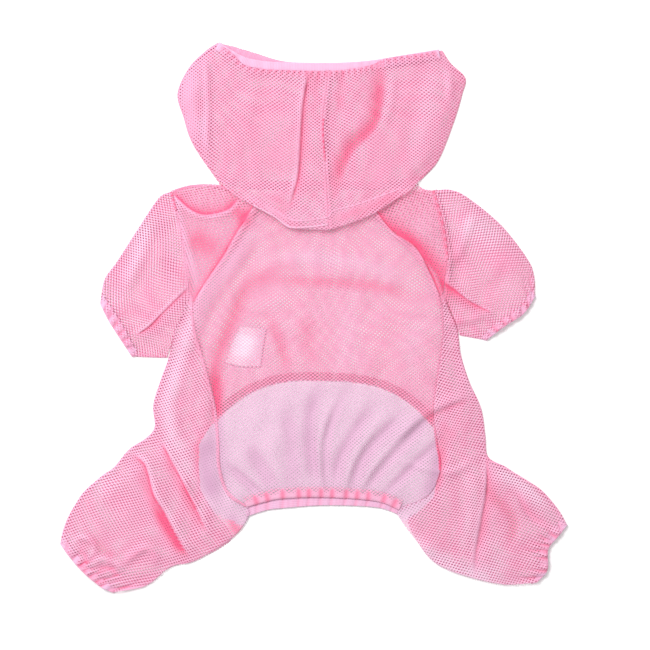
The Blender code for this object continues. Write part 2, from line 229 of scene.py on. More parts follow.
# %% [markdown]
# ## The net
# The net is knitted, and its holes lie in staggered rows.  A real one could be cut
# into the mesh, but the suit has about 46,000 holes, so the material makes them:
# two sets of slanting waves give the rows, and where their crests meet there is a
# hole.  The pattern is read from each piece's own cloth map, which is laid out at
# real size, so that the holes follow the cloth through every fold.  Two layers
# over each other then give the light and dark bands of real net.  Three painted
# values steer it: "close" shuts the holes where cloth is bunched, "deep" turns the
# pink deeper where net is bunched and as painted shade in a valley, and paler as a
# painted highlight on a ridge, and "alone" marks the part of the suit that is one
# layer, which is painted greyer and more lilac as the shade of the floor seen
# through it.

# %% Net
HOLES_ACROSS = 3.02       # from one hole to the next in its row
ROWS_APART = 2.28         # between rows that line up, with a staggered row between them
HOLE_EDGE = 2.2           # how sharp the edge of a hole is
HOLE_SIZE = 0.05          # higher is smaller
CLOSING = 1.9             # how strongly "close" shuts the holes
LONE_CLOSING = 0.2        # the single layer looks a little closer
UNEVEN_PINK = 0.25        # how far the pink wanders by itself
YARN_COVER = 0.88         # the yarn is fine enough to let a little through
# the pale pink is the painted highlight on ridges, and also the paler belly panel
PALE_AND_LIT_PINK = (0.97, 0.63, 0.81, 1.0)
# the mauve is painted shade: the shaded floor seen through a single layer, and the shaded mauve its valleys
FLOOR_SHADE_MAUVE = (0.85, 0.52, 0.71, 1.0)
SHADED_MAUVE = (0.66, 0.35, 0.54, 1.0)
PINK = (0.965, 0.43, 0.635, 1.0)
# the deep pink is bunched net and the painted shade in valleys
BUNCH_AND_SHADE_PINK = (0.97, 0.11, 0.26, 1.0)


def knitted_net(name):
    """The net: its holes close where it is bunched; its pink is painted deeper as shade in the folds and
    paler as highlight on the ridges.
    """
    net = Recipe(name, Roughness=0.62, Sheen_Weight=0.25, Sheen_Roughness=0.5)
    across, along = net.cloth_phase(0, HOLES_ACROSS), net.cloth_phase(1, ROWS_APART)
    crests = (across + along).maths("COSINE") + (across - along).maths("COSINE")
    alone = net.paint("alone")
    closed = net.paint("close") + alone * LONE_CLOSING
    hole = ((crests - HOLE_SIZE - closed * CLOSING) * HOLE_EDGE + 0.5).clamped()
    net.feed("Alpha", (1.0 - hole) * YARN_COVER)
    uneven = net.noise(net.place(), 55.0, 3.0)
    deep = net.paint("deep") + (uneven - 0.5) * UNEVEN_PINK
    # paler pink is painted highlight where deep is below nothing; deeper pink above it is painted shade and
    # bunched net
    pink_with_highlight = net.mix((deep * -1.0).clamped(), PINK, PALE_AND_LIT_PINK)
    doubled = net.mix(deep.clamped(), pink_with_highlight, BUNCH_AND_SHADE_PINK)
    # a single layer takes the painted shade of the floor seen through it, deeper still in its valleys
    net.feed("Base Color", net.mix(alone, doubled, net.mix((deep * 0.8).clamped(), FLOOR_SHADE_MAUVE, SHADED_MAUVE)))
    net.bump(crests * -0.25, 0.35, 0.3 * MM)
    return net.material


pink_net = knitted_net("pink_net")
print("holes in 100 mm across:", round(100 / HOLES_ACROSS))

# %% [markdown]
# ## Lines and patches
# A pattern cutter draws each piece by its edges.  Here an edge is a few points
# with a smooth curve through them, and a piece is the patch of cloth between its
# edges.  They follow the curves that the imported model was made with, so each new
# piece lies where its solid does, or within a few millimetres where it was put right.


# %% Curves
class Line:
    """A smooth curve through its knots, with its length measured."""

    def __init__(self, knots, steps=14):
        knots = np.asarray(knots, float)
        ends = np.vstack([knots[:1], knots, knots[-1:]])
        part = np.linspace(0, 1, steps, endpoint=False)[:, None]
        square, cube = part ** 2, part ** 3
        runs = []
        for before, here, there, after in zip(ends, ends[1:], ends[2:], ends[3:]):
            runs.append(here * (2 * cube - 3 * square + 1) + (there - before) / 2 * (cube - 2 * square + part)
                        + there * (3 * square - 2 * cube) + (after - here) / 2 * (cube - square))
        self.points = np.vstack(runs + [knots[-1:]])
        self.steps = np.linspace(0, 1, len(self.points))
        spans = np.linalg.norm(np.diff(self.points, axis=0), axis=1)
        self.lengths = np.concatenate([[0], np.cumsum(spans)])
        self.length = self.lengths[-1]

    def at(self, share):
        """Points at an even speed."""
        target = np.clip(share, 0, 1) * self.length
        return np.stack([np.interp(target, self.lengths, column) for column in self.points.T], axis=-1)

    def by_knots(self, share):
        """Points at the speed of the knots."""
        share = np.clip(share, 0, 1)
        return np.stack([np.interp(share, self.steps, column) for column in self.points.T], axis=-1)

    def measure(self, points):
        """Signed distance of points (positive on the left) and how far along they are."""
        run = np.diff(self.points, axis=0)
        span = (run ** 2).sum(1) + 1e-12
        offset = points[:, None, :] - self.points[None, :-1, :]
        part = np.clip((offset * run).sum(2) / span, 0, 1)
        offset = offset - part[:, :, None] * run
        distance = np.hypot(offset[:, :, 0], offset[:, :, 1])
        nearest = distance.argmin(1)
        row = np.arange(len(points))
        offset, run = offset[row, nearest], run[nearest]
        side = np.where(run[:, 0] * offset[:, 1] - run[:, 1] * offset[:, 0] >= 0, 1.0, -1.0)
        share = (self.lengths[nearest] + part[row, nearest] * np.sqrt(span[nearest])) / self.length
        normal = np.stack([-run[:, 1], run[:, 0]], 1) / np.sqrt(span[nearest])[:, None]
        return distance[row, nearest] * side, share, normal


print("a quarter round of 100 mm radius measures:", round(Line([(0, 0), (71, 29), (100, 100)]).length), "mm")

# %% Patches
BOW_SHAPE = 3.0           # how flat a bowed cross line runs in its middle


def ruled(starts, ends, bows=None):
    """A patch from cross lines that may bow to one side."""
    starts, ends = Line(starts), Line(ends)
    bows = None if bows is None else Line([(bow, 0.0) for bow in bows])

    def at(along, across):
        start, end = starts.by_knots(along), ends.by_knots(along)
        point = start + (end - start) * across[:, None]
        if bows is not None:
            side = np.stack([start[:, 1] - end[:, 1], end[:, 0] - start[:, 0]], 1)
            side /= np.linalg.norm(side, axis=1)[:, None]
            arch = 1 - np.abs(2 * across - 1) ** BOW_SHAPE
            point = point + side * (bows.by_knots(along)[:, 0] * arch)[:, None]
        return point
    return at


def four_edges(start, end, outer=None, inner=None):
    """A patch inside four edges: start and end lines, outer and inner sides."""
    outer = Line(outer or [start[0], end[0]])
    inner = Line(inner or [start[-1], end[-1]])
    start, end = Line(start), Line(end)

    def at(along, across):
        run, cross = along[:, None], across[:, None]
        lengthwise = start.at(across) * (1 - run) + end.at(across) * run
        crosswise = outer.at(along) * (1 - cross) + inner.at(along) * cross
        first = start.at(0.0) * (1 - cross) + start.at(1.0) * cross
        last = end.at(0.0) * (1 - cross) + end.at(1.0) * cross
        return lengthwise + crosswise - first * (1 - run) - last * run
    return at


middle = np.array([0.5])
print("middle of a bowed patch:", ruled([(0, 0), (0, 9)], [(8, 0), (8, 9)], [2, 2])(middle, middle)[0])

# %% [markdown]
# ## Lines of the sleeves and legs
# A sleeve is drawn by its armhole, its cuff and its two sides, which run from the
# ends of the one to the ends of the other.  A leg is a list of cross lines.  Each
# starts at the outer side and ends at the seam on the back, and in the layer
# beneath at the edge on the belly side, where that is not the same place.

# %% Lines of the sleeves and legs
def four_sides(start, end, outer=(), inner=()):
    """The four edges of a piece, with the points between the corners of its two sides."""
    return dict(start=start, end=end, outer=[start[0], *outer, end[0]], inner=[start[-1], *inner, end[-1]])


def cross_lines(*rows):
    """Outer side, seam on the back and edge on the belly side, which may be the seam again."""
    return [row if len(row) == 3 else (*row, row[-1]) for row in rows]


SLEEVE_LEFT = four_sides(
    start=[(-100, 88), (-96, 75), (-92.5, 59), (-89.5, 38), (-86.8, 14), (-95, -7), (-102.6, -27.6)],
    end=[(-147, 20), (-138, 9), (-130, -4), (-125, -15), (-120, -25.5)],
    outer=[(-108, 84), (-121, 65), (-137, 40), (-146, 27)],
    inner=[(-110, -27.5)])
SLEEVE_RIGHT = four_sides(
    start=[(84.5, 89), (88, 76), (92, 60), (94.2, 40), (92, 18), (98.5, -1), (102.4, -12)],
    end=[(151, 24), (145, 11), (133, 2), (121, -6), (115, -14)],
    outer=[(96, 89.5), (108, 84), (131, 65), (149, 42), (154, 30)],
    inner=[(108, -13)])
LEG_LEFT = cross_lines(
    ((-89.6, 11), (-84.4, 9.5)), ((-92.8, 0), (-84.8, 2)), ((-97.4, -9), (-83, -10)),
    ((-101, -27), (-78, -28)), ((-107, -44), (-73, -46)), ((-112, -61), (-69, -64)),
    ((-111, -76), (-68, -76), (-73, -77)), ((-117, -84), (-66.5, -90), (-80, -88)),
    ((-129, -92), (-66, -104), (-80, -104)), ((-139, -104), (-60, -122), (-79, -120)),
    ((-146, -109), (-46.5, -131.5), (-74, -129)), ((-151, -113), (-45.5, -139.5), (-69, -137)),
    ((-160, -121), (-57, -154)), ((-166, -129), (-81, -169)), ((-171, -137), (-97, -173)),
    ((-174, -145), (-112, -185)), ((-175, -151), (-133, -189)),
)
LEG_RIGHT = cross_lines(
    ((93, 13), (90, 13)), ((96.5, 3), (90.3, 5)), ((100.5, -7), (91, -8)), ((103, -26), (89, -27)),
    ((109, -45), (86, -47)), ((117, -63), (84, -66)), ((120, -82), (87, -87), (85, -87)),
    ((122, -97), (89.2, -106), (88, -106)), ((134, -104), (80.5, -124), (84, -125)),
    ((140, -108), (59.5, -133.5), (75, -134)), ((145, -111), (61, -141), (66, -141)),
    ((153, -116), (73, -157)), ((159, -120), (85, -172)), ((164, -125), (104, -182)),
    ((168.5, -131), (128, -189)), ((172, -138), (150, -188)),
)
print("cross lines of the legs:", len(LEG_LEFT), "and", len(LEG_RIGHT))

# %% [markdown]
# ## How high the cloth lies
# The suit is two layers, and air and the folds hold the upper one up.  It turns
# over tightly at each side and then swells a little.  A crease is a line with a
# height and a reach on each side: a ridge if the height is above nothing, and a
# trough if it is below.  A pleat is steeper: the cloth climbs gently to a line
# and drops from it at once, as it does where one stretch laps over the next.
# Cloth simulation could drop the folds at random, but these folds have known
# places, so they are laid one by one, each with its own height and width.

# %% Outline of the body, where the cloth turns over
RUMP_LOW_EDGE = [(-47, -139), (-33, -134.5), (-21, -133), (8, -131), (43, -132.3), (58.5, -137)]
BODY_EDGES = [Line(path, 6) for path in (
    [(-67, 95), (-82, 93), (-99, 88)] + SLEEVE_LEFT["outer"][1:],
    SLEEVE_LEFT["inner"],
    [side for side, back, belly in LEG_LEFT[3:]],
    [back for side, back, belly in LEG_LEFT[11:]],
    RUMP_LOW_EDGE,
    [back for side, back, belly in LEG_RIGHT[12:]],
    [side for side, back, belly in LEG_RIGHT[3:]],
    SLEEVE_RIGHT["inner"],
    [(74, 95), (84, 89)] + SLEEVE_RIGHT["outer"][1:],
)]
print("outline of the body:", round(sum(edge.length for edge in BODY_EDGES)), "mm")

# %% [markdown]
# ## The cut of the body
# Each panel is a list of cross lines from its left edge to its right edge, and a
# bow that bends the line up or down in its middle.  The back runs from the neck
# to the rump, the belly ends early in an arch, and the yokes fill the shoulders.

# %% Cut of the body
BACK = [
    ((-38, 82), (40, 78), -14), ((-49, 66), (50, 67), -8), ((-56, 55), (60, 57), -3),
    ((-64, 42), (70, 48), 0), ((-72, 30), (78, 37), 0), ((-80, 17), (85, 23), 0),
    ((-85, 5), (90, 8), 0), ((-83, -10), (91, -8), 0), ((-78, -28), (89, -27), 0),
    ((-73, -46), (86, -47), 0), ((-69, -64), (84, -66), 0), ((-67, -84), (87, -87), 0),
    ((-66, -104), (89, -106), 0), ((-60, -122), (80, -124), 2), ((-46, -131), (59, -133), 7),
]
BELLY = [
    ((-65, 93), (72, 93), 0), ((-97, 85), (84, 85), 0), ((-92, 62), (90, 64), 0),
    ((-88, 36), (93, 38), 0), ((-85.5, 16), (91, 20), 0), ((-85, 5), (90, 8), 0),
    ((-83, -10), (91, -8), 0), ((-78, -28), (89, -27), 2), ((-73, -46), (86, -47), 12),
    ((-69, -64), (84, -66), 24), ((-68, -72), (83, -76), 30),
]
SHOULDER_LEFT = [
    ((-99, 88), (-40, 80), 8.2), ((-95, 74), (-50, 64), 3), ((-91.5, 58), (-61, 46), 0),
    ((-88.5, 38), (-72, 30), 0), ((-86.5, 22), (-80.5, 17), 0), ((-85.6, 13), (-83, 11), 0),
]
SHOULDER_RIGHT = [
    ((83.5, 89), (41, 78), -4), ((87, 76), (51, 66), -1), ((91, 60), (64, 54), 0),
    ((93, 42), (76, 40), 0), ((91.5, 26), (84.5, 24), 0), ((90.5, 17), (87.7, 15), 0),
]


def panel(rows):
    """The patch between the left and right ends of its cross lines."""
    return ruled([row[0] for row in rows], [row[1] for row in rows], [row[2] for row in rows])


belly_patch = panel(BELLY)
arch = belly_patch(np.ones(33), np.linspace(0, 1, 33))[::2]
arch_height = arch[:, 1].max() - (arch[0, 1] + arch[-1, 1]) / 2
print("arch of the belly:", round(Line(arch).length), "mm long and", round(arch_height), "mm high")

# %% [markdown]
# ## Folds of the body
# Light cloth that was put down by hand folds along a few long lines and many
# short ones.  The long ones are pleats here, and the fan at the rump and the dents
# at the shoulders are creases.  No two have the same size, because even spacing is
# what gives a made-up fold away.

# %% Pleats of the body
# pink scales a pleat's painted shade below its fold and painted highlight on its edge
Pleat = namedtuple("Pleat", "path overlap reach lift pink", defaults=(1.0,))
# the cloth on the left of each path's direction lies on top
BODY_PLEATS = [
    # left leg: two folds that run from the side down to the crotch
    Pleat([(-130, -92), (-118.6, -100.8), (-115.1, -109.2), (-111.3, -123.2), (-104.6, -134.4),
           (-97.3, -148.4), (-90.6, -161), (-84.3, -169.4)], 1.6, 11.0, 1.3, 1.2),
    Pleat([(-107.4, -83), (-100.1, -97.3), (-94.1, -108.5), (-87.1, -122.5), (-81.5, -133.7), (-76.6, -144.2),
           (-72, -154)], 0.8, 9.0, 0.8),
    # right thigh: the long fold that hangs from the side
    Pleat([(112, -186), (112, -169.4), (113.7, -157.1), (116.5, -141), (119.3, -126.7), (120.7, -110.6),
           (120, -92)], 0.8, 11.0, 0.9, 0.5),
    # left shoulder: the dent in front of the hood
    Pleat([(-50, 86), (-57.7, 77), (-65.5, 73.5), (-73.8, 72.1), (-80.1, 72.8), (-86.8, 76.3), (-94.1, 82.6),
           (-102, 90)], 0.6, 10.0, 0.8),
    # left underarm
    Pleat([(-127, -13), (-115.8, -6.3), (-106, 3.5), (-96.2, 13.3), (-85, 24)], 0.7, 9.0, 0.9),
    # right sleeve: the fold that runs from the underarm to the cuff
    Pleat([(88, 27), (98, 20.5), (108, 13), (117, 7.5), (127, 3.5)], 0.5, 6.0, 0.7, 0.8),
    # the back laps over the yokes along the raglan seams
    Pleat([(-38, 86), (-42.3, 77.7), (-49.3, 66.5), (-55.6, 56), (-62.6, 43.4), (-72.1, 29.4), (-81.5, 14.7),
           (-87, 4)], 0.5, 6.0, 0.6),
    Pleat([(91, 8), (85, 23.1), (80.5, 32.9), (75.9, 42), (69.6, 51.1), (57, 58.8), (46.5, 70.7), (40, 82)],
          0.5, 6.0, 0.7),
]
print("pleats:", len(BODY_PLEATS))

# %% [markdown]
# ## Creases of the body
# Each crease has its path, its height, its reach to the left and to the right, how
# far the holes close in it and how much painted shade it gets as deeper pink.
# Where that last number is below nothing, it gets a painted highlight instead, and
# the cloth is paler and more lilac.

# %% Creases of the body
Crease = namedtuple("Crease", "path height left right close deep")
BODY_CREASES = [
    # the long soft fold down the left side: a light ridge and the valley beside it
    Crease([(-34, 74), (-55, 41), (-72, 20), (-86, -8), (-97, -40), (-102, -66), (-91, -98), (-74, -132)],
           0.9, 9, 9, 0.35, -0.4),
    Crease([(-20, 36), (-44, 23), (-55, 2), (-65, -22), (-69, -40), (-68, -57), (-68, -78),
            (-64, -106), (-60, -136)],
           -1.2, 9, 8, 0.3, 0.35),
    Crease([(-68, -38), (-68, -57), (-68, -72)], -0.5, 7, 6, 0.3, 0.4),
    Crease([(-31.8, 2), (-26.2, -10.5), (-20.6, -25.9), (-17.8, -40)], -0.9, 7, 6, 0.25, 0.25),
    # waves across the upper back
    Crease([(-34, 42), (10, 41), (64, 29)], 0.7, 9, 9, -0.05, -0.25),
    Crease([(-36, 26), (0, 25), (40, 22), (72, 15)], -0.8, 7, 6, 0.25, 0.25),
    Crease([(25, 12), (25, -38)], 0.5, 15, 15, 0.0, -0.2),
    Crease([(-6, 4), (-2, -35)], -0.4, 10, 10, 0.15, 0.15),
    Crease([(74, 4), (66, -40)], 0.4, 12, 12, 0.0, -0.15),
    # folds that fan out from the gathered rump
    Crease([(4, -46), (-2.5, -78), (3, -120)], -1.2, 6, 9, 0.5, 0.35),
    Crease([(22, -52), (10, -82), (9, -120)], -1.0, 5, 5, 0.5, 0.15),
    Crease([(41, -62), (20, -96), (15, -121)], -1.3, 6, 7, 0.55, 0.3),
    Crease([(62, -66), (36, -96), (25.5, -122)], -1.4, 7, 5, 0.55, 0.3),
    Crease([(80, -73), (50, -103), (36, -123)], -1.2, 5, 6, 0.5, 0.15),
    Crease([(90, -84), (60, -113), (46.5, -127)], -1.2, 6, 5, 0.55, 0.25),
    Crease([(-46, -88), (-27, -120)], -1.1, 7, 9, 0.5, 0.3),
    Crease([(-60, -103), (-36, -124)], -1.2, 5, 6, 0.5, 0.25),
    Crease([(-20, -62), (-15, -90), (-14, -120)], -0.7, 9, 9, 0.4, 0.25),
    Crease([(12, -60), (3, -92), (6, -120)], 1.0, 4, 4, 0.0, 0.0),
    Crease([(50, -66), (28, -98), (21, -121)], 1.1, 4, 4, 0.0, 0.0),
    Crease([(72, -72), (44, -101), (31, -123)], 1.0, 4, 4, 0.0, 0.0),
    Crease([(-32, -80), (-21, -120)], 0.9, 7, 5, 0.0, 0.0),
    Crease([(-76, -78), (-75, -105), (-68, -132)], 0.0, 12, 12, 0.6, 1.15),
    Crease([(90, -86), (86, -110), (76, -130)], 0.0, 10, 10, 0.5, 0.3),
    # left shoulder
    Crease([(-97, 84), (-91, 60), (-84, 36), (-79, 18)], 0.7, 5, 5, 0.3, -0.3),
    Crease([(-88, 58), (-66, 46)], 0.0, 13, 13, 0.4, 0.45),
    Crease([(-56, 78), (-44, 64)], -0.3, 8, 8, 0.4, 0.5),
    # left sleeve
    Crease([(-107, 82), (-104, 55), (-101, 30), (-98, 12)], -0.8, 9, 9, 0.3, 0.25),
    Crease([(-114, 72), (-122, 45), (-134, 18)], 0.9, 9, 12, 0.4, -0.3),
    Crease([(-128, 50), (-132, 28), (-141, 12)], -0.6, 6, 6, 0.1, 0.15),
    Crease([(-118, 8), (-106, -8)], 0.0, 12, 12, 0.2, 0.25),
    # right raglan and sleeve
    Crease([(48, 74), (60, 60), (76, 46), (88, 30), (95, 8), (98, -8)], -1.0, 11, 3, 0.45, 0.6),
    Crease([(92, 60), (99, 40), (99, 18)], -0.9, 7, 6, 0.1, 0.35),
    Crease([(104, 74), (130, 44)], 0.6, 20, 18, 0.2, -0.6),
    Crease([(134, 40), (128, 26), (118, 18)], -0.7, 7, 7, -0.1, 0.3),
    Crease([(90, 26), (100.1, 18.2), (108.1, 10.5), (127, 7)], -1.0, 3, 8, 0.1, 0.45),
    Crease([(92, 35), (95.2, 38.5), (101.8, 46.2), (108.1, 61.6), (113, 78)], 0.9, 8, 4, 0.3, 0.15),
    Crease([(95, -3), (108.8, -1.4), (121, 3.5)], 1.2, 5, 4, 0.2, 0.3),
    # right hip
    Crease([(50, -88), (60.5, -81.2), (68.9, -74.2), (77.3, -67.9), (85.8, -63), (99, -57.4), (118, -50)],
           1.1, 9, 4, 0.3, 0.1),
    Crease([(54, -90), (70, -77), (88, -65), (116, -54)], -0.6, 2, 6, 0.3, 0.4),
    Crease([(86, -72), (102, -84)], 0.0, 11, 11, 0.35, 0.3),
    Crease([(58, -99), (95, -107), (112, -96)], 0.8, 4, 5, 0.2, -0.1),
    Crease([(104, -22), (104, -50)], 0.0, 7, 7, 0.4, 0.1),
    # right leg
    Crease([(120, -94), (121.5, -120), (119, -142), (114, -168)], -0.6, 15, 2, 0.1, 0.3),
    Crease([(108, -98), (110, -130), (104, -168)], 0.5, 9, 8, 0.15, -0.25),
    Crease([(138, -117), (143.8, -123.9), (148, -133), (155.4, -141), (166, -146)], -1.4, 5, 4, 0.5, 0.4),
    Crease([(-46, -10), (-50, -29)], 0.3, 12, 12, -0.22, -0.75),
    # puffs and grooves at the left hind cuff
    Crease([(-168, -157), (-163, -153), (-156, -155), (-153, -162), (-157, -169)], 1.0, 3.5, 3.5, 0.3, -0.2),
    Crease([(-162, -162), (-159, -169), (-163, -175)], -0.9, 3, 3, 0.5, 0.5),
    Crease([(-154, -172), (-148, -168), (-140, -170), (-133, -176)], 1.0, 4, 3, 0.3, -0.2),
    Crease([(-152, -177), (-146, -174.5), (-140, -176), (-137, -183)], -0.9, 3, 3, 0.5, 0.5),
    Crease([(-160, -151), (-148, -161), (-136, -172)], -0.3, 7, 7, -0.2, 0.4),
    Crease([(130, -150), (126, -182)], 0.3, 13, 13, 0.0, -0.4),
    Crease([(124, -104), (146, -116), (166, -134)], 0.3, 4, 11, 0.25, -0.7),
    Crease([(124, -122), (137, -136), (140, -148), (133, -162)], -0.8, 6, 8, -0.1, 0.5),
    Crease([(62, -150), (82, -166), (106, -178), (136, -186)], 0.4, 12, 12, 0.15, -0.75),
    Crease([(92, -80), (88, -104), (84, -130)], -0.4, 7, 9, 0.1, 0.4),
    # left leg
    Crease([(-127, -96), (-115, -124), (-104, -148), (-93, -170)], -0.7, 1.5, 11, 0.35, 0.25),
    Crease([(-104, -90), (-98, -108), (-86, -134), (-78, -152)], -0.4, 1.5, 9, 0.2, 0.25),
    Crease([(-112, -130), (-106, -141), (-99, -152), (-94, -160), (-88, -167)], -0.3, 4, 6, 0.2, 0.75),
    Crease([(-92, -112), (-85, -126), (-82, -138)], 0.0, 9, 7, -0.2, 0.35),
    Crease([(-58, -136), (-53, -152)], -0.5, 7, 7, 0.5, 0.7),
    Crease([(-134, -172.2), (-118.6, -161), (-112.3, -165.5), (-110.2, -177.1)], 1.4, 6, 4, 0.4, 0.3),
    Crease([(-152, -124), (-134, -112)], 0.5, 16, 14, 0.0, -0.3),
]
print("creases:", len(BODY_CREASES))

# %% [markdown]
# ## Laying the cloth over its folds
# A pleat moves the flat points sideways as well as up, so that its edge is
# crisp, and it uses up some cloth, which the cloth map remembers.  A corner that
# falls close to the edge is put right on it.

# %% Pleats laid
Laid = namedtuple("Laid", "places height close deep cloth")
# across a pleat: sideways place in parts of the reach, then in parts of the overlap, height, close, deep
# (painted shade growing towards the fold beneath, and painted highlight just past the top fold)
PLEAT_SHAPE = [
    (-1.0, 0.0, 0.0, 0.0, 0.0), (-0.55, 0.0, -0.3, 0.2, 0.15), (-0.2, 0.0, -0.75, 0.5, 0.5),
    (-0.05, 0.0, -0.9, 0.8, 1.0), (0.0, 0.0, 0.5, 0.9, 0.3), (0.08, 0.1, 0.85, 0.7, -0.3),
    (0.2, 0.3, 0.9, 0.2, -0.1), (0.4, 0.4, 0.7, 0.0, 0.0), (1.0, 0.0, 0.0, 0.0, 0.0),
]
TOP_FOLD, UNDER_FOLD = 4, 3   # the two rows where the cloth turns
SNAP = 0.6                # corners this near a turn are put on it, which keeps the edge clean
PLEAT_ENDS = 0.16         # share of a pleat over which each end of it fades
SPARE_REACH = 60.0        # how far from a pleat the cloth map makes room for what it uses up


def smooth(value):
    """From 0 to 1 with a soft start and a soft end."""
    value = np.clip(value, 0, 1)
    return value * value * (3 - 2 * value)


def pleat_profile(pleat):
    """Where the cloth goes across a pleat: place, height, close, deep (painted shade and highlight) and cloth
    used.
    """
    by_reach, by_overlap, height, close, deep = np.array(PLEAT_SHAPE).T
    place = by_reach * pleat.reach + by_overlap * pleat.overlap
    height = height * pleat.lift
    used = np.concatenate([[0], np.cumsum(np.hypot(np.diff(place), np.diff(height)))])
    return place, height, close, deep, used


def lay_pleats(points, pleats):
    """Move flat points sideways into the pleats."""
    lift, close, deep = np.zeros(len(points)), np.zeros(len(points)), np.zeros(len(points))
    cloth = points.copy()
    places = points.copy()
    for pleat in pleats:
        distance, share, normal = Line(pleat.path).measure(places)
        inside = np.abs(distance) < pleat.reach
        fade = smooth(share / PLEAT_ENDS) * smooth((1 - share) / PLEAT_ENDS)
        place, height, closing, deepening, used = pleat_profile(pleat)
        position = (distance + pleat.reach) / (2 * pleat.reach) * used[-1]
        for fold in (TOP_FOLD, UNDER_FOLD):
            position = np.where(np.abs(position - used[fold]) < SNAP, used[fold], position)

        def read(column):
            return np.where(inside, np.interp(position, used, column), 0.0) * fade
        sideways = read(place) - np.where(inside, distance, 0.0) * fade
        lift, close, deep = lift + read(height), close + read(closing), deep + read(deepening) * pleat.pink
        spare = used[-1] / 2 - pleat.reach
        shift = np.where(inside, position - used[-1] / 2 - distance, np.sign(distance) * spare)
        shift = shift * smooth(1 - (np.abs(distance) - pleat.reach) / SPARE_REACH) * fade
        places = places + normal * sideways[:, None]
        cloth = cloth + normal * shift[:, None]
    return Laid(places, lift, close, deep, cloth)


used = pleat_profile(BODY_PLEATS[0])[4][-1]
print("the first pleat uses", round(used, 1), "mm of cloth in", 2 * BODY_PLEATS[0].reach, "mm")

# %% [markdown]
# A crease only adds height and paint.  It fades towards its reach on each side, and
# at its ends to a quarter of what it is in its middle.

# %% Creases laid
FOLD_DEPTH = 1.6          # all creases are this much deeper than first drawn
# the creases' painted shade and painted highlight are made this much stronger
FOLD_SHADING = 1.1           # and this much pinker
CREASE_ENDS = 0.25        # share of a crease over which each end of it fades
CREASE_LEFT = 0.25        # and what is left of it at its ends


def lay_creases(points, creases):
    """Height, closeness and depth of pink, which is painted shade in valleys and painted highlight on ridges,
    that the creases give at flat points.
    """
    total = np.zeros((3, len(points)))
    for crease in creases:
        distance, share, normal = Line(crease.path, 8).measure(points)
        reach = np.where(distance >= 0, crease.left, crease.right)
        near = 1 - smooth(np.abs(distance) / reach)
        ends = smooth(share / CREASE_ENDS) * smooth((1 - share) / CREASE_ENDS)
        near = near * (CREASE_LEFT + (1 - CREASE_LEFT) * ends)
        total += np.outer([crease.height * FOLD_DEPTH, crease.close, crease.deep * FOLD_SHADING], near)
    return total


MIDDLE = np.array([[25.0, -13.0]])
print("creases in the middle of the back:", lay_creases(MIDDLE, BODY_CREASES)[0].round(2), "mm high")

# %% [markdown]
# ## The two layers
# The upper layer turns over at its sides, swells and carries the folds, and it has
# a closed, deeper rim.  The layer on the floor keeps only small ripples and is
# painted a deeper pink for the shade of the layer above it.  Its waves, like all
# the waves below, have odd lengths so that nothing lines up.

# %% Layers of the body
TURN = 1.7                # width of the turn at a side
TURN_LOW, TURN_TOP = 1.0, 2.2
RIM = 1.5                 # width of the rim along a side
RIM_CLOSE, RIM_DEEP = 0.6, 0.3
RIPPLE, RIPPLE_REACH = 0.7, 9.0
BODY_RISE, BODY_RUN = 2.2, 16.0
FLOOR_LAYER = 0.35        # middle of the layer on the floor
FLOOR_RIPPLE = 0.12
# painted shade: the lower layer is painted this much deeper pink for the shade of the layer above
BENEATH_SHADE = 0.12            # how much deeper the pink of the lower layer looks
BELLY_CLOSE = 0.05
BELLY_PALER = 1.12        # how much paler the belly panel is below the neck
NECK_START, NECK_RUN = 55, 35


def distance_inside(points, edges):
    return np.min([np.abs(edge.measure(points)[0]) for edge in edges], axis=0)


def turned_height(edge):
    """Quarter turn at the side."""
    return TURN_LOW + (TURN_TOP - TURN_LOW) * np.sqrt(1 - (1 - np.clip(edge / TURN, 0, 1)) ** 2)


def soft_waves(points, size, reach):
    """Small uneven waves, so that no stretch of cloth is dead flat."""
    x, y = points[:, 0] / reach, points[:, 1] / reach
    waves = np.sin(1.9 * x + 1.3 * y) + np.sin(-1.1 * x + 2.3 * y + 1.7) + np.sin(3.1 * x - 0.7 * y + 4.1)
    return size * waves / 3


def upper_layer(points, edges, pleats, creases, rise, run):
    """The layer on top: its turned sides, its swell and its folds."""
    edge = distance_inside(points, edges)
    laid = lay_pleats(points, pleats)
    height, close, deep = lay_creases(points, creases)
    inside = smooth(edge / run)
    rim = 1 - smooth(edge / RIM)
    folds = height + laid.height + soft_waves(points, RIPPLE, RIPPLE_REACH)
    height = turned_height(edge) + rise * inside + folds * inside
    close, deep = close + laid.close + RIM_CLOSE * rim, deep + laid.deep + RIM_DEEP * rim
    return Laid(laid.places, height, close, deep, laid.cloth)


def body_top(points):
    """The upper layer of the body."""
    return upper_layer(points, BODY_EDGES, BODY_PLEATS, BODY_CREASES, BODY_RISE, BODY_RUN)


def floor_layer(points):
    """The layer on the floor, with the small ripples that cloth keeps, painted a deeper pink for the shade of
    the layer above it.
    """
    height = FLOOR_LAYER + FLOOR_RIPPLE * (1 + np.sin(points[:, 0] / 5.3 + 0.7) * np.sin(points[:, 1] / 6.1))
    still = np.zeros(len(points))
    return Laid(points, height, still, still + BENEATH_SHADE, points)


def belly_layer(points):
    """The belly panel: pale where the back shows it best, and as pink as the hood near the neck."""
    laid = floor_layer(points)
    near_neck = smooth((points[:, 1] - NECK_START) / NECK_RUN)
    return laid._replace(close=laid.close + BELLY_CLOSE,
                         deep=laid.deep - BELLY_PALER + BELLY_PALER * near_neck)


def moved(surface, up, close=0.0, deep=0.0, keep=False):
    """The same surface a little higher or lower, for what lies on it or under it, with its own paint."""
    def at(points):
        laid = surface(points)
        return laid._replace(height=laid.height + up, close=laid.close * keep + close,
                             deep=laid.deep * keep + deep)
    return at


print("the upper layer lies there at:", body_top(MIDDLE).height.round(2), "mm")

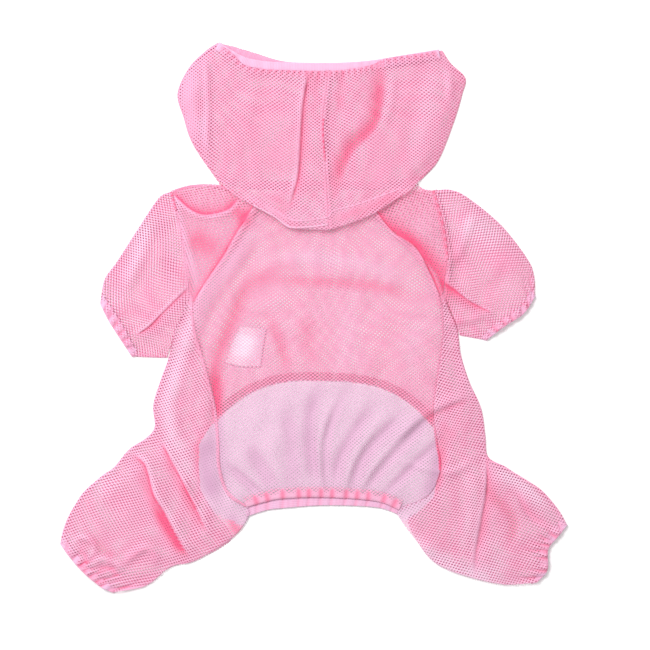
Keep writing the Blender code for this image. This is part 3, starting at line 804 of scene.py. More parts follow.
# %% [markdown]
# ## Where the suit is one layer
# The belly ends in an arch, so the rump and a part of each leg are one layer of
# net.  This loop runs round that part: along the arch, the inner edges of the legs
# and below the rump.

# %% The part that is one layer
SINGLE = np.array(list(arch) + [belly for side, back, belly in LEG_RIGHT[6:11]]
                  + [(60, -145), (7, -140), (-50, -145)]
                  + [belly for side, back, belly in LEG_LEFT[11:5:-1]])


def encloses(loop, points):
    """Which points lie inside a closed loop of corners."""
    x, y = points[:, 0], points[:, 1]
    inside = np.zeros(len(points), bool)
    for (x0, y0), (x1, y1) in zip(loop, np.roll(loop, -1, axis=0)):
        if y0 != y1:
            inside ^= ((y0 > y) != (y1 > y)) & (x < x0 + (x1 - x0) * (y - y0) / (y1 - y0))
    return inside.astype(float)


print("inside the loop at the rump and at the chest:", encloses(SINGLE, np.array([[7, -120], [7, 0]])))

# %% [markdown]
# ## From a patch to a piece of net
# Each piece starts as a flat grid of cells about as fine as the folds need.  Its
# corners are moved to where the cloth lies, the cloth map is filled in at real
# size, and a Solidify modifier gives the net its thickness.

# %% Making a piece
JOIN = 0.04               # corners of a tube this near to each other are sewn together
pieces = {}


def lay_out(name, columns, rows, place, closed=False, lone=True):
    """A grid of cells; place gives where each corner lies, from its share along and its column."""
    net = bmesh.new()
    bmesh.ops.create_grid(net, x_segments=columns, y_segments=rows, size=0.5)
    net.verts.ensure_lookup_table()
    flat = np.array([vertex.co[:2] for vertex in net.verts]) + 0.5
    laid = place(np.clip(flat[:, 1], 0, 1), np.rint(flat[:, 0] * columns).astype(int))
    cloth_map = net.loops.layers.uv.new("cloth")
    painted = {"close": laid.close, "deep": laid.deep, "alone": encloses(SINGLE, laid.places) * lone}
    for paint_name, values in painted.items():
        paint = net.verts.layers.float.new(paint_name)
        for vertex, value in zip(net.verts, values):
            vertex[paint] = float(value)
    for vertex, point, height in zip(net.verts, laid.places, laid.height):
        vertex.co = Vector((point[0], point[1], height)) * MM
    for face in net.faces:
        for loop in face.loops:
            loop[cloth_map].uv = laid.cloth[loop.vert.index] * MM
    if closed:
        bmesh.ops.remove_doubles(net, verts=net.verts, dist=JOIN * MM)
    bmesh.ops.recalc_face_normals(net, faces=net.faces)
    mesh = bpy.data.meshes.new(name)
    net.to_mesh(mesh)
    net.free()
    return mesh


def finish_piece(name, mesh, material, shell, node=None):
    """Give a mesh its wall and material, and place it in the model."""
    piece = bpy.data.objects.new(name, mesh)
    bpy.context.collection.objects.link(piece)
    mesh.materials.append(material)
    mesh.shade_smooth()
    wall = piece.modifiers.new("wall", "SOLIDIFY")
    wall.thickness = shell * MM
    wall.offset = 0.0
    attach(piece, "root")
    if node:
        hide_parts(node)
    pieces[name] = piece
    return piece


print("ready to make a piece; corners are joined within", JOIN, "mm")

# %% [markdown]
# ## A single layer
# The cloth map is turned to the grain of the piece.  The net was pulled a little
# out of true when it was sewn, which a slow sway of the map shows.  Tape is cut
# along its own length, so its map is straight.

# %% A single layer
SHELL = 0.38              # thickness of the net
patterns = {}             # the flat patches that each piece is cut from


def grain(cloth, angle, stretch=1.0, sway=1.0):
    """Turn the cloth map to the grain, and let the net pull slightly out of true."""
    turn = math.radians(angle)
    x, y = cloth[:, 0], cloth[:, 1]
    across = x + sway * np.sin(y / 13.0 + 0.6) + 0.6 * sway * np.sin(x / 9.0 + y / 21.0)
    along = y + sway * np.sin(x / 15.0 + 1.9) + 0.6 * sway * np.sin(y / 11.0 - x / 17.0)
    return np.stack([(across * math.cos(turn) + along * math.sin(turn)) / stretch,
                     (along * math.cos(turn) - across * math.sin(turn)) * stretch], 1)


def one_layer(name, node, patch, size, surface, cell, angle=0.0, stretch=1.0, sway=1.0, shell=SHELL,
              material=None, slot="pink_net", extra=None, straight=False, lone=True):
    """A piece that is a single layer of cloth; a straight one is cut along its own length."""
    columns, rows = (max(2, round(side / cell)) for side in size)

    def place(along, column):
        across = column / columns
        laid = surface(patch(along, across))
        if extra is not None:
            height, close, deep = extra(along, across)
            laid = laid._replace(height=laid.height + height, close=laid.close + close, deep=laid.deep + deep)
        if straight:
            return laid._replace(cloth=np.stack([across * size[0], along * size[1]], 1))
        return laid._replace(cloth=grain(laid.cloth, angle, stretch, sway))
    patterns[name] = [patch]
    mesh = lay_out(name, columns, rows, place, lone=lone)
    return finish_piece(name, mesh, material or pink_net, shell, node)


turned = grain(np.array([[100.0, 0.0]]), 30.0)[0]
print("a point 100 mm along the weft lies on the turned grain at:", turned.round(1))

# %% [markdown]
# ## Cloth that turns over at a side
# The legs, the sleeves and the hood are cut in one piece and turned over, so that
# the side has no seam.  The grid runs across the top, round a tight turn and back
# underneath.  A sleeve runs on round the other side too and is closed to a tube.
# The grain of the layer beneath is a few degrees out of line, as it is in a real
# garment, and that is what makes the bands in doubled net.

# %% Turned pieces
UNDER_TURN = 7.0          # the grain of the layer beneath is this much out of line
UNDER_CLOSE = 0.25        # and its holes look smaller
UNDER_STRETCH = (1.015, 0.985)
UNDER_SWAY = 2.2
UNDER_RIM = 0.2           # how much deeper its pink is along the rim
TURN_STEPS = [0.0, 0.08, 0.3, 0.7, 1.0]   # columns of corners round a turn, as shares of it
LEAST_WIDTH = 5.0         # a cross line is never taken to be shorter than this
RUFFLES_FROM = 6.0        # the ruffles reach their full height this far from the side


def two_layers(name, node, above, below, size, top, cell, angle, gather=None, tube=False, low=floor_layer,
               under_turn=UNDER_TURN, shell=SHELL, material=None, slot="pink_net", straight=False):
    """A piece that turns over at its side: across the top, round the side and back underneath."""
    turn = np.array(TURN_STEPS) * TURN
    last = len(turn) - 1
    half = max(2 * last + 2, round(size[0] / cell)) + last
    rows = max(3, round(size[1] / cell))
    columns = 2 * half

    def place(along, column):
        over = column <= half
        step = np.where(over, column, columns - column) if tube else np.abs(column - half)
        ones, none = np.ones(len(along)), np.zeros(len(along))
        chord = np.maximum(np.linalg.norm(above(along, ones) - above(along, none), axis=1), LEAST_WIDTH)
        near_turn = np.interp(step, np.arange(len(turn)), turn) / chord
        start = turn[-1] / chord
        if tube:
            far_turn = 1 - np.interp(half - step, np.arange(len(turn)), turn) / chord
            middle = start + (1 - 2 * start) * (step - last) / (half - 2 * last)
            across = np.where(step <= last, near_turn, np.where(half - step <= last, far_turn, middle))
            side = np.minimum(across, 1 - across) * chord
        else:
            across = np.where(step <= last, near_turn, start + (1 - start) * (step - last) / (half - last))
            side = across * chord
        round_turn = np.sqrt(1 - (1 - np.clip(side / TURN, 0, 1)) ** 2)
        upper, lower = top(above(along, across)), low(below(along, across))
        up_height = TURN_LOW + (upper.height - TURN_LOW) * round_turn
        up_close, up_deep = upper.close, upper.deep
        if gather is not None:
            ruffle, closing, deepening = gather(along, across)
            up_height = up_height + ruffle * smooth(side / RUFFLES_FROM)
            up_close, up_deep = up_close + closing, up_deep + deepening
        low_height = TURN_LOW + (lower.height - TURN_LOW) * round_turn
        rim = 1 - smooth(side / RIM)
        up_cloth = grain(upper.cloth, angle)
        low_cloth = grain(lower.cloth * UNDER_STRETCH, angle + under_turn, sway=UNDER_SWAY)
        if straight:
            up_cloth = low_cloth = np.stack([across * size[0], along * size[1]], 1)
        return Laid(np.where(over[:, None], upper.places, lower.places),
                    np.where(over, up_height, low_height),
                    np.where(over, up_close, lower.close + UNDER_CLOSE + RIM_CLOSE * rim),
                    np.where(over, up_deep, lower.deep + UNDER_RIM * rim),
                    np.where(over[:, None], up_cloth, low_cloth))
    patterns[name] = [above, below]
    mesh = lay_out(name, columns, rows, place, closed=tube)
    return finish_piece(name, mesh, material or pink_net, shell, node)


print("turn at a side:", TURN, "mm wide and", round(TURN_TOP - TURN_LOW, 1), "mm high")

# %% [markdown]
# ## Seams and tapes
# A seam is a narrow ribbon beside a line: the allowance shows through the net as
# a paler or pinker band.  The same ribbon makes hems, piping and elastic.

# %% Ribbons
sewn_on = defaultdict(list)       # the narrow strips that go with each sheet of net
LOOK_AHEAD = 0.004        # share of a line over which its direction is read


def strip(line, left, right):
    """A ribbon of cloth beside a line: along it, and across from left to right."""
    def at(along, across):
        ahead = line.at(np.minimum(along + LOOK_AHEAD, 1)) - line.at(np.maximum(along - LOOK_AHEAD, 0))
        side = np.stack([-ahead[:, 1], ahead[:, 0]], 1) / np.linalg.norm(ahead, axis=1)[:, None]
        return line.at(along) + side * (left + (right - left) * across)[:, None]
    return at


def ribbon(name, sheet, path, left, right, surface, cell=1.0, **how):
    """A narrow strip along a path that is sewn to a sheet: a seam allowance, a hem, a seam line or a tape."""
    line = Line(path)
    piece = one_layer(name, how.pop("node", None), strip(line, left, right), (abs(left - right), line.length),
                      surface, cell, lone=False, **how)
    sewn_on[sheet].append(piece)


def dashes(count, close, deep):
    """Where the seam shows deeper in dashes."""
    def extra(along, across):
        wave = smooth(0.5 + 0.9 * np.sin(2 * math.pi * count * along + 1.3 * np.sin(7 * along)))
        return 0.1 * wave, close * wave, deep * wave
    return extra


across_strip = strip(Line([(0, 0), (50, 0)]), 2.0, -1.0)(np.array([0.5, 0.5]), np.array([0.0, 1.0]))
print("a strip runs from", across_strip[0], "to", across_strip[1])

# %% [markdown]
# ## Body pieces
# Back, belly and the two shoulder yokes are single layers.  The belly lies on the
# floor and is seen only through the back, so it is paler and its cells may be
# coarser.

# %% Body pieces
one_layer("back_net", "back_panel", panel(BACK), (175, 214), moved(body_top, 0, -0.12, 0.25, True), 1.3, 0.0)
one_layer("belly_net", "belly_panel", belly_patch, (188, 168), belly_layer, 2.4, 9.0, 1.02, sway=2.4)
one_layer("shoulder_left_net", "shoulder_left", panel(SHOULDER_LEFT), (58, 83),
          moved(body_top, 0, 0, 0.2, True), 1.1, -30.0)
one_layer("shoulder_right_net", "shoulder_right", panel(SHOULDER_RIGHT), (51, 75),
          moved(body_top, 0, 0, 0.25, True), 1.1, 30.0)
print("body pieces:", list(pieces))

# %% [markdown]
# ## Gathers
# At a cuff the net is folded over elastic and bunched, so it rises in puffs with
# grooves between them.  Each pinch has its own place and its own length of groove.

# %% Gathers
# where the elastic pinches each cuff: share of the way along it, and how far the groove runs up the cloth
CUFF_GATHERS = {
    "hind_leg_left": [(0.12, 0.5), (0.28, 0.6), (0.4, 1.0), (0.5, 0.5),
                      (0.6, 0.8), (0.72, 1.0), (0.8, 0.5), (0.93, 0.7)],
    "hind_leg_right": [(0.1, 0.5), (0.24, 0.7), (0.33, 1.0), (0.41, 0.8),
                       (0.5, 1.0), (0.6, 0.5), (0.78, 0.5), (0.9, 0.6)],
    "sleeve_left": [(0.14, 0.9), (0.3, 0.5), (0.45, 1.0), (0.6, 0.5), (0.72, 0.9), (0.86, 1.0)],
    "sleeve_right": [(0.08, 0.9), (0.2, 1.0), (0.32, 0.5), (0.5, 0.6),
                     (0.63, 0.5), (0.78, 1.0), (0.9, 0.7)],
}
PINCH_WIDTH = 0.028       # of a groove, as a share of the way along the cuff
PINCH_DEPTH = 1.3         # how deep a groove is, in parts of the size of the ruffles
TAPE_DIP = 2.4            # how far the net dips where the tape comes out


def pinches(name, share, width):
    """How strongly the elastic pinches at each share of the cuff, and how far up the groove runs there."""
    strength, reach = np.zeros(len(share)), np.zeros(len(share)) + 0.3
    for place, groove in CUFF_GATHERS[name]:
        near = np.exp(-((share - place) / width) ** 2)
        strength, reach = strength + near, reach + near * groove
    return np.clip(strength, 0, 1.2), reach


def tape_shows(share):
    """Where the tape comes out from under the net at a cuff."""
    return smooth(3 * np.sin(15 * share + 0.5) * np.sin(8 * share + 1.3) - 0.6)


def gathers(name, size, length):
    """Uneven ruffles that grow towards the elastic, over a length given in shares of the piece.  Their
    grooves are painted a deeper pink, for bunched net and painted shade, and their puffs a little paler, as
    painted highlight.
    """
    def ruffle(along, across):
        bend = 0.035 * np.sin(40 * along + 9 * across) * smooth((1 - along) / length)
        strength, reach = pinches(name, across + bend, PINCH_WIDTH)
        grown = smooth(1 - (1 - along) / (length * np.clip(reach, 0.3, 1.2))) ** 0.8
        puff = smooth(1 - (1 - along) / length)
        wander = np.sin(31 * across + 60 * along) * 0.3
        height = size * (puff * (0.55 + wander) - PINCH_DEPTH * strength * grown)
        hem = smooth((along - 1) * 4 / length + 1)
        height = height - TAPE_DIP * hem * tape_shows(across)
        return (height, 0.1 * puff + 0.4 * strength * grown + 0.15 * hem,
                0.8 * strength * grown - 0.1 * puff + 0.1 * hem)
    return ruffle


print("pinches at each cuff:", [len(found) for found in CUFF_GATHERS.values()])

# %% [markdown]
# ## Hind legs and their gathered ends
# A leg is one piece that runs from the side of the body to the cuff and turns over
# at its outer side.  Its end is drawn over to the line of the cuff.

# %% Legs
CUFF_PULL = 0.25          # share of a leg that is drawn over
# the net runs out over the elastic as a casing, to these lines
LEG_ENDS = {
    "hind_leg_left": [(-176.8, -157), (-164.4, -172.6), (-149.5, -186.1), (-138.8, -191.4)],
    "hind_leg_right": [(176.7, -144), (169.2, -153.3), (163.3, -161.7), (162.5, -176), (156, -184.8)],
}


def leg_layer(rows, inner, cuff):
    """One layer of a leg, its last part drawn over to the line of the cuff."""
    straight = ruled([row[0] for row in rows], [row[inner] for row in rows])
    cuff_line = Line(cuff)

    def at(along, across):
        pull = smooth((along - 1 + CUFF_PULL) / CUFF_PULL)[:, None]
        end = straight(np.ones(len(along)), across)
        return straight(along, across) + (cuff_line.at(across) - end) * pull
    return at


for name, rows, angle in (("hind_leg_left", LEG_LEFT, -21.0), ("hind_leg_right", LEG_RIGHT, 21.0)):
    above = leg_layer(rows, 1, LEG_ENDS[name])
    below = leg_layer(rows, 2, LEG_ENDS[name])
    top = moved(body_top, 0, 0, -0.22, True)
    two_layers(name + "_net", name, above, below, (82, 203), top, 1.15, angle, gathers(name, 1.3, 0.09))
print("cells in each leg:", [len(pieces[name + "_net"].data.polygons) for name in LEG_ENDS])

# %% [markdown]
# ## Front sleeves
# A sleeve is a short tube lying flat.  Its four edges are the armhole, the cuff,
# the shoulder side and the underarm, and the gathers run much further up it than
# on a leg, because a sleeve is short.

# %% Sleeves
SLEEVE_ENDS = {
    "sleeve_left": [(-149, 11.2), (-142.4, -0.7), (-135.4, -12), (-126.3, -26.8)],
    "sleeve_right": [(154.6, 16), (146.8, 3.8), (134.7, -4), (120.3, -15.2)],
}

for name, edges, angle in (("sleeve_left", SLEEVE_LEFT, -50.0), ("sleeve_right", SLEEVE_RIGHT, 40.0)):
    end = SLEEVE_ENDS[name]
    outer, inner = edges["outer"][:-1] + end[:1], edges["inner"][:-1] + end[-1:]
    patch = four_edges(edges["start"], end, outer, inner)
    top = moved(body_top, 0, -0.25, -0.3, True)
    two_layers(name + "_net", name, patch, patch, (80, 58), top, 1.1, angle, gathers(name, 1.3, 0.24),
               tube=True, under_turn=3.0)
print("cells in each sleeve:", [len(pieces[name + "_net"].data.polygons) for name in SLEEVE_ENDS])

# %% [markdown]
# ## Hood
# The hood lies above the neck with its opening at the top.  It has a seam down
# its middle and turns over at each side.  The lower edge laps over the shoulders,
# so it climbs as it comes down.

# %% Lines of the hood
HOOD_LEFT = four_sides(
    start=[(-67, 192.3), (-57, 185), (-47, 176), (-30, 173.5), (10.5, 172)],
    end=[(-67, 97), (-56, 86), (-42, 78), (-28, 71), (-17, 63), (11, 61)],
    outer=[(-75, 187), (-87, 175), (-95, 157), (-91, 141), (-84, 121)],
    inner=[(6.5, 137), (7.5, 118), (9, 97)])
HOOD_LEFT_BELOW = four_sides(
    start=[(-67, 192.3), (-56, 190), (-41, 185.5), (-20, 179.5), (10.5, 177.5)],
    end=[(-67, 97), (-58, 93.6), (11, 92.6)],
    outer=HOOD_LEFT["outer"][1:-1])
HOOD_RIGHT = four_sides(
    start=[(90, 187), (70, 184), (50, 181), (38, 176), (10.5, 172)],
    end=[(74.5, 97), (66, 88), (55, 81), (43, 73), (29, 67), (11, 61)],
    outer=[(96, 178), (106, 168), (104, 157), (98, 137), (87, 110)],
    inner=HOOD_LEFT["inner"][1:-1])
HOOD_RIGHT_BELOW = four_sides(
    start=[(90, 187), (62, 183), (38, 180), (10.5, 177.5)],
    end=[(74.5, 97), (66, 93.4), (11, 92.6)],
    outer=HOOD_RIGHT["outer"][1:-1])
print("centre seam of the hood:", round(Line(HOOD_LEFT["inner"]).length), "mm")

# %% [markdown]
# The folds of the hood are laid as those of the body are, with one long pleat left
# of the seam and one deep trough right of it.

# %% Hood
HOOD_RISE, HOOD_RUN = 2.9, 10.0
FLAP_LIFT, FLAP_START, FLAP_RUN = 3.2, 97.0, 8.0
HOOD_PUCKERS = 19         # across each half of the opening
PUCKER_RUN = 0.07         # share of the hood over which they fade
HOOD_SIDES = [Line(HOOD_LEFT["outer"], 6), Line(HOOD_RIGHT["outer"], 6)]
HOOD_PLEATS = [
    Pleat([(-18, 74), (-14, 88), (-10.8, 102.2), (-8.8, 136.5), (-7.3, 152.6), (-3, 176)],
          1.2, 11.0, 1.1, 0.8),
]
HOOD_CREASES = [
    Crease([(-3, 174), (-6, 140), (-9, 104), (-15, 82)], -0.5, 11, 2, -0.1, 0.0),
    Crease([(48, 180), (46.5, 152), (42, 134), (26, 117), (18, 97), (16, 86)], -1.9, 4, 11, 0.35, 0.75),
    Crease([(56, 176), (53, 150), (46, 128)], 0.8, 6, 5, 0.1, -0.2),
    Crease([(21.3, 176), (20, 160), (18.5, 140)], -0.8, 5, 5, 0.3, 0.25),
    Crease([(4, 174), (1, 140)], -0.4, 4, 4, 0.2, 0.25),
    Crease([(-75.9, 184), (-74.5, 159.6), (-74.5, 138.6), (-75.2, 108)], 0.9, 3.5, 4, 0.5, 0.0),
    Crease([(-85, 178), (-87, 150), (-83, 118)], 0.0, 12, 12, 0.8, 0.1),
    Crease([(90.6, 188), (94.1, 172.5), (95.5, 150)], 0.8, 4, 5, 0.3, 0.0),
    Crease([(84, 175), (82, 140), (70, 110)], 0.5, 14, 14, 0.1, -0.2),
    Crease([(-30, 172), (-33, 150), (-36, 120)], -0.7, 12, 12, 0.0, 0.05),
    Crease([(-28, 88), (-18, 72)], 0.0, 9, 9, 0.3, 0.3),
    # the neck hem, right of the centre seam
    Crease([(8, 66), (29, 74), (46, 81), (64, 90)], 0.4, 6, 7, 0.4, 0.35),
    Crease([(-46, 84), (-28, 74), (-12, 66)], 0.3, 4, 4, 0.5, 0.1),
]


def hood_top(points):
    """The upper layer of the hood, whose lower edge laps onto the shoulders."""
    laid = upper_layer(points, HOOD_SIDES, HOOD_PLEATS, HOOD_CREASES, HOOD_RISE, HOOD_RUN)
    return laid._replace(height=laid.height + FLAP_LIFT * smooth((FLAP_START - points[:, 1]) / FLAP_RUN))


def hood_gathers(along, across):
    """Small puckers just below the elastic, with painted shade in their troughs."""
    wave = np.sin(2 * math.pi * HOOD_PUCKERS * across + 1.2 * np.sin(9 * across))
    grown = 1 - smooth(along / PUCKER_RUN)
    return 0.35 * wave * grown, 0.45 * grown + 0.2 * wave * grown, 0.3 * grown * (1 - wave)


for name, above, below, angle in (("hood_left", HOOD_LEFT, HOOD_LEFT_BELOW, -3.0),
                                  ("hood_right", HOOD_RIGHT, HOOD_RIGHT_BELOW, 5.0)):
    two_layers(name + "_net", name, four_edges(**above), four_edges(**below), (98, 115), hood_top, 1.3, angle,
               hood_gathers)
print("cells in the hood:", [len(pieces[name].data.polygons) for name in ("hood_left_net", "hood_right_net")])

# %% [markdown]
# ## Elastic tape and label satin
# The elastic is a soft knitted tape, 6 mm wide, paler than the net, with fine ribs
# along it.  It is pink under its net casing and is painted a deeper pink where it
# is pinched, as shade in the pinch.  The label is blank white satin with a fine
# cross weave.

# %% Tapes, hem and label
TAPE = (0.80, 0.475, 0.68, 1.0)
TAPE_SHADE = (0.95, 0.25, 0.42, 1.0)
SATIN = (0.94, 0.91, 0.95, 1)
SATIN_LILAC = (0.80, 0.69, 0.85, 1)
RIBS = 1.1                # from one rib of the tape to the next
STITCHES = 0.9            # from one stitch across the tape to the next
THREADS = 0.5             # from one thread of the satin to the next
TAPE_SHELL = 0.9          # thickness of the tape


def elastic(name):
    """Soft knitted elastic: fine ribs along it, painted darker where the gathers pinch it, as shade in the
    pinch.
    """
    tape = Recipe(name, Roughness=0.7, Sheen_Weight=0.3)
    ribs = tape.cloth_phase(1, RIBS).maths("SINE")
    knit = tape.cloth_phase(0, STITCHES).maths("SINE")
    uneven = tape.noise(tape.place(), 160.0, 3.0)
    shade = (tape.paint("deep") + (uneven - 0.5) * 0.6 + knit * 0.06).clamped()
    tape.feed("Base Color", tape.mix(shade, TAPE, TAPE_SHADE))
    tape.bump(ribs * 0.5 + knit * 0.25, 0.5, 0.25 * MM)
    return tape.material


def satin(name):
    """Blank white satin with a fine cross weave."""
    label = Recipe(name, Roughness=0.42, Sheen_Weight=0.4)
    threads = label.cloth_phase(1, THREADS).maths("SINE")
    uneven = label.noise(label.place(), 120.0)
    lilac = (uneven * 0.5 + label.paint("deep") * 0.6).clamped()
    label.feed("Base Color", label.mix(lilac, SATIN, SATIN_LILAC))
    label.bump(threads, 0.2, 0.1 * MM)
    return label.material


def level(height, deep=0.0, close=0.0):
    """A flat surface at one height, with one paint."""
    def surface(points):
        flat = np.zeros(len(points))
        return Laid(points, flat + height, flat + close, flat + deep, points)
    return surface


pale_tape = elastic("pale_elastic")
white_satin = satin("label_satin")
as_tape = dict(material=pale_tape, slot="pale_elastic", straight=True)

HEM_DEPTH = 6.0
ribbon("belly_hem_net", "belly_net", arch, HEM_DEPTH, 0.2, level(1.3, 0.35, 0.15), 1.2,
       node="belly_hem")
print("hem of the belly:", HEM_DEPTH, "mm deep")

# %% [markdown]
# ## The label inside
# It is sewn to the belly panel along its upper end only, so it curls a little, and
# it is seen through the back as a pale patch.

# %% Label
label_edges = four_sides(start=[(-51, -6), (-33, -7.5)], end=[(-62, -31.5), (-50, -34), (-37, -34)],
                         outer=[(-57, -18)], inner=[(-35, -20)])


def label_curl(along, across):
    height = 0.3 * np.sin(2.2 * along + 3 * across) + 0.1 * np.sin(9 * across + 4 * along)
    return height, 0 * along, 0.7 * smooth((across - 0.55) / 0.4)


one_layer("care_label_satin", "care_label", four_edges(**label_edges), (20, 25), level(1.8), 1.0,
          shell=0.2, material=white_satin, slot="label_satin", extra=label_curl)
label_width = math.dist(label_edges["end"][0], label_edges["end"][-1])
print("label across its lower end:", round(label_width, 1), "mm")

# %% [markdown]
# ## Rump
# The back panel is bunched onto elastic at the rump.  The net piles up at each
# gather as a deep pink bunch that fades into the panel, and the tape shows below
# it.  A shader could paint that, but it would lack the small shadows, so the
# bunches are real bumps that are painted too.

# %% Rump elastic and its casing
RUMP_TOP_EDGE = [(-47, -131.8), (-33, -127.8), (-21, -125.6), (7, -124.8), (43, -127.4), (60, -133.8)]
RUMP_GATHERS = [-39.5, -31.8, -21.3, -10.1, -3.1, 5.2, 13, 22.7, 30.4, 38.1, 48.6, 55.6]
rump_line = Line(RUMP_TOP_EDGE)


def rump_pinch(along, width=1.1):
    """How strongly the rump elastic pinches the cloth at each share along it."""
    x = rump_line.at(along)[:, 0]
    return sum(np.exp(-((x - gather) / width) ** 2) for gather in RUMP_GATHERS)


def casing_ruffle(along, across):
    """Bunches at the gathers, which run out softly into the panel above."""
    pinch, bunch = rump_pinch(along), np.clip(rump_pinch(along, 2.3), 0, 1)
    solid = smooth(across * 2.6 - 0.8 + 0.9 * bunch)
    height = 0.4 - 0.35 * pinch - 0.7 * smooth(across * 6 - 5)
    return height, 1.1 * solid - 0.05, solid * (0.55 * bunch - 0.35 * (1 - bunch))


def tape_ruffle(along, across):
    """Small folds in the tape, whose patch has the length of the tape across it, with painted shade in the
    pinches.
    """
    pinch = rump_pinch(across, 1.3)
    folds = 0.3 * np.sin(230 * across + 2 * np.sin(31 * across))
    return 0.25 * folds - 0.45 * pinch, 0 * pinch, 0.12 + 0.3 * pinch + 0.15 * folds


ribbon("rump_casing", "back_net", RUMP_TOP_EDGE, 7.0, -0.6, moved(body_top, 0.4), 0.7,
       extra=casing_ruffle)
rump_tape = one_layer("rump_tape", "rump_band", four_edges(RUMP_TOP_EDGE, RUMP_LOW_EDGE), (107, 6),
                      level(1.6), 0.7, shell=TAPE_SHELL, extra=tape_ruffle, **as_tape)
sewn_on["back_net"].append(rump_tape)
print("rump elastic:", round(Line(RUMP_LOW_EDGE).length), "mm with", len(RUMP_GATHERS), "gathers")

# %% [markdown]
# ## Elastic of the hood
# The opening is a loop of tape.  Its near half lies on top along the edge, and of
# its far half only the left end peeps out behind it.

# %% Hood elastic, in the two halves of the opening
NEAR_TAPE = [(-67, 190.5), (-60, 186), (-50, 180.5), (-40, 177.8), (-25, 176.3), (12, 175.6),
             (38, 177), (60, 180.5), (88, 185)]
FAR_TAPE = [(-66, 190.5), (-56, 188.3), (-41, 183.8), (-20, 178.2), (10, 176.5)]


# puckers along the hood tape, with painted shade in their troughs and a deeper pink along one edge
def soft_puckers(along, across):
    wave = np.sin(2 * math.pi * 23 * along + 2.5 * np.sin(17 * along)) * (0.6 + 0.4 * np.sin(11 * along))
    return 0.2 * wave, 0 * wave, 0.12 * smooth(-wave) + 0.3 * smooth(across * 3 - 2.2)


ribbon("hood_tape", "hood_left_net", NEAR_TAPE, 2.6, -3.6, level(3.4), 0.9, node="hood_band",
       extra=soft_puckers, shell=TAPE_SHELL, **as_tape)
# the far half lies inside the opening and is painted deeper for the shade there
ribbon("hood_tape_far", "hood_left_net", FAR_TAPE, 1.2, -4.0, level(1.2, 0.5), 1.0,
       extra=soft_puckers, shell=TAPE_SHELL, **as_tape)
print("near edge of the face opening:", round(Line(NEAR_TAPE).length), "mm")

# %% [markdown]
# ## Elastic of the cuffs
# Each cuff has a ring of the same tape under the net.  It lies flat as a short
# tube and comes out from under the net in a few places only.

# %% Cuff elastic
CUFFS = {
    "sleeve_cuff_left": dict(
        start=[(-146.4, 20.8), (-137.5, 9.8), (-129.4, -3.2), (-124.3, -14.2), (-119.6, -25.2)],
        end=[(-149, 10), (-143, -2), (-136, -13), (-127, -27)]),
    "sleeve_cuff_right": dict(
        start=[(150.4, 24.3), (144.4, 12.2), (132.6, 3.2), (120.5, -4.9), (114.4, -13.6)],
        end=[(155, 15), (147, 3), (135, -5), (121, -15.5)]),
    "hind_cuff_left": dict(
        start=[(-173.6, -150.2), (-159.2, -166.2), (-145.6, -179.2), (-132.4, -188)],
        end=[(-177, -158), (-165, -173.5), (-150, -187), (-140, -192)]),
    "hind_cuff_right": dict(
        start=[(170.8, -137.4), (161.8, -148.8), (155.8, -159.6), (153.8, -175.8), (149.2, -187.2)],
        end=[(177.4, -145), (170, -154), (164, -162), (163.5, -176), (157, -184)]),
}
TAPE_FROM = 0.4           # the net covers the tape up to this share of its width
TAPE_PINCH = 0.03         # width of a pinch in the tape, as a share of the way along the cuff
CUFF_CLOTH = {"sleeve_cuff_left": "sleeve_left", "sleeve_cuff_right": "sleeve_right",
              "hind_cuff_left": "hind_leg_left", "hind_cuff_right": "hind_leg_right"}


# the cuff tape is pink under its net, painted deeper where it is pinched as shade in the dip, and paler where
# it comes out
def cuff_pinch(name):
    def extra(along, across):
        strength, reach = pinches(name, across, TAPE_PINCH)
        return 0.7 - 1.1 * strength, 0 * strength, 0.4 + 0.4 * strength - 0.4 * tape_shows(across)
    return extra


def narrowed(patch, start):
    """Only the last part of a patch."""
    return lambda along, across: patch(start + (1 - start) * along, across)


for name, edges in CUFFS.items():
    patch = narrowed(four_edges(**edges), TAPE_FROM)
    pinched = cuff_pinch(CUFF_CLOTH[name])
    cuff = two_layers(name + "_tape", name, patch, patch, (52, 6), moved(body_top, -0.9), 0.9, 0.0, pinched,
                      tube=True, shell=0.8, **as_tape)
    sewn_on[CUFF_CLOTH[name] + "_net"].append(cuff)
    print(name, "along its drawn end, there and back:", round(2 * Line(edges["end"]).length), "mm")

# %% [markdown]
# ## Seams
# Every seam has two edges of net turned in, which closes the holes in a narrow
# band.  The armholes and the middle of the hood also show the stitches, as short
# deeper dashes.

# %% Seams
ARMHOLE_LEFT = [(-99.8, 88.2), (-96.2, 75), (-92.2, 59), (-89.2, 38), (-86.6, 18), (-85, 6)]
ARMHOLE_RIGHT = [(84, 89.3), (87.6, 76), (91.5, 60), (93.6, 41), (91.8, 22), (90.4, 9)]
RAGLAN_LEFT, RAGLAN_RIGHT = ([row[side] for row in BACK[:7]] for side in (0, 1))
HIP_LEFT = [row[0] for row in BACK[6:14]] + [(-47, -131.5)]
HIP_RIGHT = [row[1] for row in BACK[6:14]] + [(60, -133.5)]
HOOD_CENTRE = [(10.5, 173)] + HOOD_LEFT["inner"][1:-1] + [(11, 62)]
NECK = [(-66, 96), (-40, 93.2), (11, 92.8), (50, 93.2), (73, 96)]

